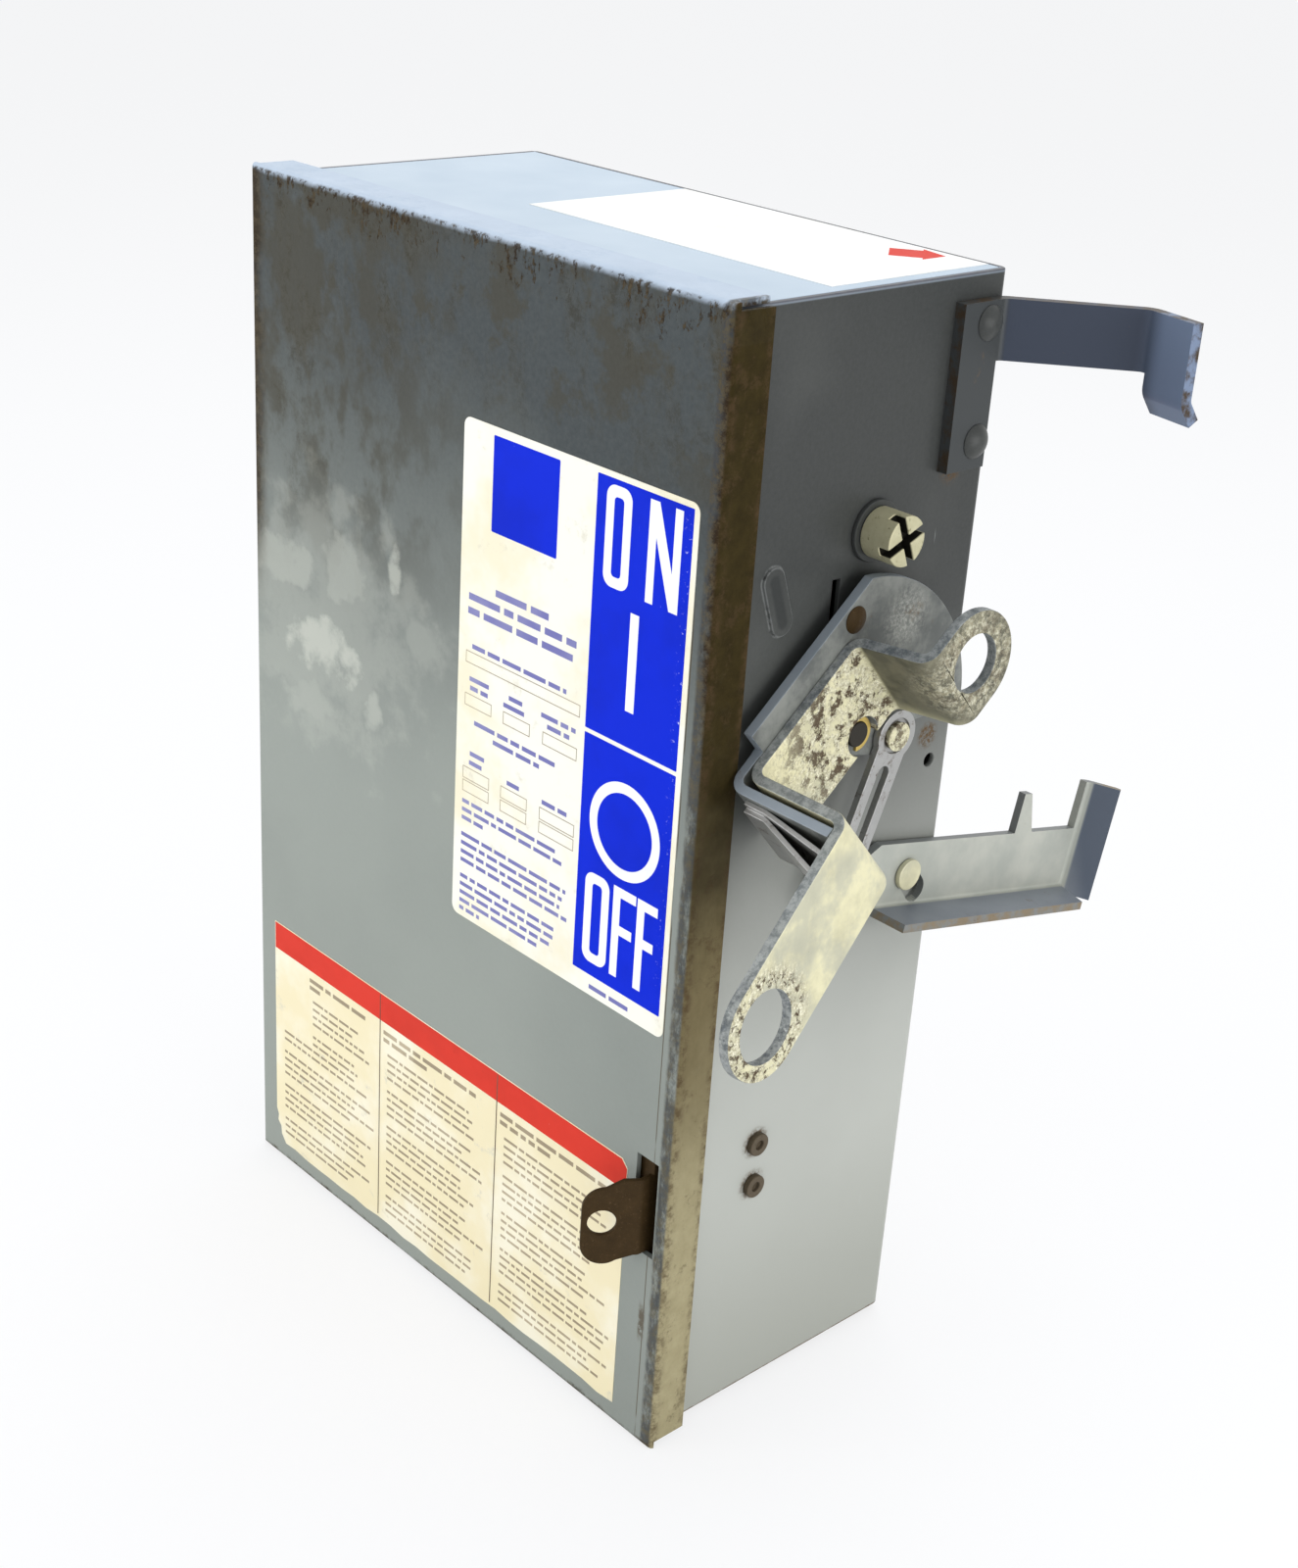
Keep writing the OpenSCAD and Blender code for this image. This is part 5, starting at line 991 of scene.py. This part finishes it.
class TAPBOX_OT_notice_plates(bpy.types.Operator):
    """Make the notice plate with its red header and the white plate on the top"""

    bl_idname = "tapbox.notice_plates"
    bl_label = "Notice plates"

    def execute(self, context):
        plate = context.scene.plates
        film, ink = plate.film, plate.ink
        rng = np.random.default_rng(12)
        layer, fine = (film - ink, film + ink), (film - ink, film + FINE * ink)
        cover_print("notice_plate", slab(notice_outline(rng) * MM, 0.0, film), "yellowed")
        left, right, head = NOTICE_LEFT + 0.3, NOTICE_RIGHT - 0.2, NOTICE_HEAD - 0.3
        header = [(left, HEADER_FOOT), (right, HEADER_FOOT), (right, head - 2.5), (right - CUT_CORNER, head),
                  (left, head)]
        cover_print("notice_header", slab(np.array(header) * MM, *layer), "red")
        dividers = np.array([(*sides, NOTICE_FOOT + 2.0, NOTICE_HEAD - 0.6) for sides in DIVIDERS])
        cover_print("notice_dividers", bars(dividers * MM, film - ink, film + PROUD * ink), "dark_print")
        heads, rows = notice_lines(rng)
        text = np.concatenate([words(rng, heads, 1.6), words(rng, rows, 1.0)])
        cover_print("notice_print", bars(text, *fine), "brown_print")
        top_print("top_plate", slab(np.array(TOP_PLATE) * MM, 0.0, film), "white")
        c, s = math.cos(ARROW_TURN), math.sin(ARROW_TURN)
        arrow = np.array(ARROW) @ np.array([[c, s], [-s, c]]) * ARROW_SCALE + ARROW_MIDDLE
        top_print("top_arrow", slab(arrow * MM, *layer), "red")
        return {"FINISHED"}


def notice_outline(rng):
    """The notice plate's outline: an uneven foot, a cut corner at the head and a torn one at the foot."""
    left, right, foot, head = NOTICE_LEFT, NOTICE_RIGHT, NOTICE_FOOT, NOTICE_HEAD
    steps = 26
    low = np.column_stack([np.linspace(left + 4.5, right, steps), foot + rng.uniform(0.0, 0.9, steps)])
    low[0] = (left + 6.0, foot + 0.4)
    corner = [(right, head - CUT_CORNER), (right - CUT_CORNER, head), (left, head)]
    return np.concatenate([low, corner, np.array(TORN) + (left, foot)])


def notice_lines(rng):
    """Heads and text lines of the three columns as (left, right, height); the first is set in at its head."""
    heads, rows = [], []
    for first, (x0, x1) in zip((True, False, False), COLUMNS):
        heads += [(x0 + (19.0 if first else 0.0), x1 - short, level) for level, short in HEAD_LEVELS]
        level, line = TEXT_HEAD, 0
        while level > NOTICE_FOOT + 4.0:
            indent = 21.0 if first and level > -127.0 else 2.5
            rows.append((x0 + indent, x1 - float(rng.uniform(0.0, 16.0)), level))
            line += 1
            level -= LINE_PITCH if line % GROUP else GROUP_PITCH
    return heads, rows


# Lamps: name, place, what it is aimed at, and side, in metres; its power is a setting.
LAMPS = (("key", (-0.25, 0.35, 1.45), (0.0, -0.05, 0.0), 1.2),
         ("side", (1.25, 0.05, 0.05), (0.1, -0.05, -0.10), 0.9),
         ("front", (-0.55, -1.25, 0.10), (0.0, -0.1, -0.08), 0.9))
# The camera: its lens in millimetres, its place in metres and its rotation vector.
LENS, SENSOR = 51.1, 36.0
CAMERA_PLACE = (0.5131, -0.5213, 0.3112)
CAMERA_TURN = (1.84125598, 0.85665373, -0.47107872)


class TAPBOX_OT_stage(bpy.types.Operator):
    """Make the floor, the soft lamps, the pale room and the camera"""

    bl_idname = "tapbox.stage"
    bl_label = "Stage"

    def execute(self, context):
        scene = context.scene
        stage = scene.stage
        reach = stage.floor_side
        corners = [(x * reach, y * reach, FLOOR) for x, y in ((-1, -1), (1, -1), (1, 1), (-1, 1))]
        mesh = bpy.data.meshes.new("floor")
        mesh.from_pydata(corners, [], [(0, 1, 2, 3)])
        mesh.materials.append(floor_material())
        floor = bpy.data.objects.new("floor", mesh)
        scene.collection.objects.link(floor)
        scene.world = room_world(stage.sky)
        for name, place, aim, size in LAMPS:
            data = bpy.data.lights.new(name + "_lamp", "AREA")
            data.shape = "SQUARE"
            data.size = size
            data.energy = getattr(stage, name + "_power")
            lamp = bpy.data.objects.new(name + "_lamp", data)
            scene.collection.objects.link(lamp)
            lamp.matrix_world = looking(place, aim)
        data = bpy.data.cameras.new("camera")
        data.lens = LENS
        data.sensor_width = SENSOR
        data.clip_start = 0.01
        camera = bpy.data.objects.new("camera", data)
        scene.collection.objects.link(camera)
        camera.matrix_world = camera_matrix()
        scene.camera = camera
        scene.view_settings.view_transform = "Standard"
        return {"FINISHED"}


def looking(place, aim):
    """Matrix that stands at place and looks down its own -Z at aim."""
    z = np.array(place, float) - np.array(aim, float)
    z /= np.linalg.norm(z)
    x = np.cross((0.0, 0.0, 1.0), z)
    x /= np.linalg.norm(x)
    y = np.cross(z, x)
    made = np.eye(4)
    made[:3, 0], made[:3, 1], made[:3, 2], made[:3, 3] = x, y, z, place
    return Matrix(made.tolist())


def camera_matrix():
    """The camera's matrix from its rotation vector, by Rodrigues' formula, and its place."""
    vector = np.array(CAMERA_TURN)
    angle = np.linalg.norm(vector)
    k = vector / angle
    cross = np.array([[0, -k[2], k[1]], [k[2], 0, -k[0]], [-k[1], k[0], 0]])
    turn = np.eye(3) + math.sin(angle) * cross + (1 - math.cos(angle)) * cross @ cross
    made = np.eye(4)
    made[:3, :3] = turn.T @ np.diag([1.0, -1.0, -1.0])
    made[:3, 3] = CAMERA_PLACE
    return Matrix(made.tolist())


def emptied(owner):
    """The node tree of a material or a world, with nothing in it."""
    owner.use_nodes = True
    owner.node_tree.nodes.clear()
    return owner.node_tree


def plain_shader(tree, kind, color, strength=None):
    """A plain shader of one colour, and of one strength where it gives light."""
    made = tree.nodes.new(kind)
    made.inputs["Color"].default_value = (*color, 1.0)
    if strength is not None:
        made.inputs["Strength"].default_value = strength
    return made.outputs[0]


def seen(tree, *rays):
    """1 for the kinds of ray that are named: the largest of Light Path's outputs."""
    path = tree.nodes.new("ShaderNodeLightPath")
    result = path.outputs[rays[0]]
    for ray in rays[1:]:
        most = tree.nodes.new("ShaderNodeMath")
        most.operation = "MAXIMUM"
        tree.links.new(result, most.inputs[0])
        tree.links.new(path.outputs[ray], most.inputs[1])
        result = most.outputs[0]
    return result


def end_mixed(tree, mask, hidden, shown, output):
    """Ends a tree with the mask's mix of two shaders."""
    mixed = tree.nodes.new("ShaderNodeMixShader")
    tree.links.new(mask, mixed.inputs["Fac"])
    tree.links.new(hidden, mixed.inputs[1])
    tree.links.new(shown, mixed.inputs[2])
    tree.links.new(mixed.outputs[0], tree.nodes.new(output).inputs["Surface"])


def floor_material():
    """White floor that keeps a soft shadow: most of its light is its own where the camera or gloss sees it."""
    material = bpy.data.materials.new("studio_floor")
    tree = emptied(material)
    share = tree.nodes.new("ShaderNodeMath")
    share.operation = "MULTIPLY"
    share.inputs[1].default_value = 0.78
    tree.links.new(seen(tree, "Is Camera Ray", "Is Glossy Ray"), share.inputs[0])
    end_mixed(tree, share.outputs[0], plain_shader(tree, "ShaderNodeBsdfDiffuse", (0.86, 0.87, 0.90)),
              plain_shader(tree, "ShaderNodeEmission", (1.0, 1.0, 1.0), 1.0), "ShaderNodeOutputMaterial")
    return material


def room_world(sky):
    """Pale room: its light on the object is softer than the white that the camera and gloss see."""
    world = bpy.data.worlds.new("room")
    tree = emptied(world)
    end_mixed(tree, seen(tree, "Is Camera Ray", "Is Glossy Ray", "Is Transmission Ray"),
              plain_shader(tree, "ShaderNodeBackground", (0.93, 0.96, 1.0), sky),
              plain_shader(tree, "ShaderNodeBackground", (1.0, 1.0, 1.0), 1.0), "ShaderNodeOutputWorld")
    return world


class TAPBOX_PT_panel(bpy.types.Panel):
    """Shows the settings, and a button for each step that makes the pieces and the stage"""

    bl_label = "Tap off box"
    bl_idname = "TAPBOX_PT_panel"
    bl_space_type = "VIEW_3D"
    bl_region_type = "UI"
    bl_category = "Tap off box"

    def draw(self, context):
        for group in ("enclosure", "hardware", "plates", "stage"):
            box = self.layout.box()
            for key in getattr(context.scene, group).__annotations__:
                box.prop(getattr(context.scene, group), key)
        for operator in OPERATORS:
            self.layout.operator(operator.bl_idname)


OPERATORS = (TAPBOX_OT_enclosure, TAPBOX_OT_mechanism, TAPBOX_OT_interior, TAPBOX_OT_switch_plate,
             TAPBOX_OT_notice_plates, TAPBOX_OT_stage)
GROUPS = (EnclosureSettings, HardwareSettings, PlateSettings, StageSettings)
CLASSES = GROUPS + OPERATORS + (TAPBOX_PT_panel,)


def register():
    """Registers the classes and hangs the settings on the scene."""
    for cls in CLASSES:
        bpy.utils.register_class(cls)
    bpy.types.Scene.enclosure = PointerProperty(type=EnclosureSettings)
    bpy.types.Scene.hardware = PointerProperty(type=HardwareSettings)
    bpy.types.Scene.plates = PointerProperty(type=PlateSettings)
    bpy.types.Scene.stage = PointerProperty(type=StageSettings)


def unregister():
    """Takes back what register did, the other way round."""
    for key in ("stage", "plates", "hardware", "enclosure"):
        delattr(bpy.types.Scene, key)
    for cls in reversed(CLASSES):
        bpy.utils.unregister_class(cls)


def main():
    """Registers the add-on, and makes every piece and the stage."""
    register()
    FINISHES.update(make_finishes(bpy.context.scene))
    bpy.ops.tapbox.enclosure()
    bpy.ops.tapbox.mechanism()
    bpy.ops.tapbox.interior()
    bpy.ops.tapbox.switch_plate()
    bpy.ops.tapbox.notice_plates()
    bpy.ops.tapbox.stage()


if __name__ == "__main__":
    main()
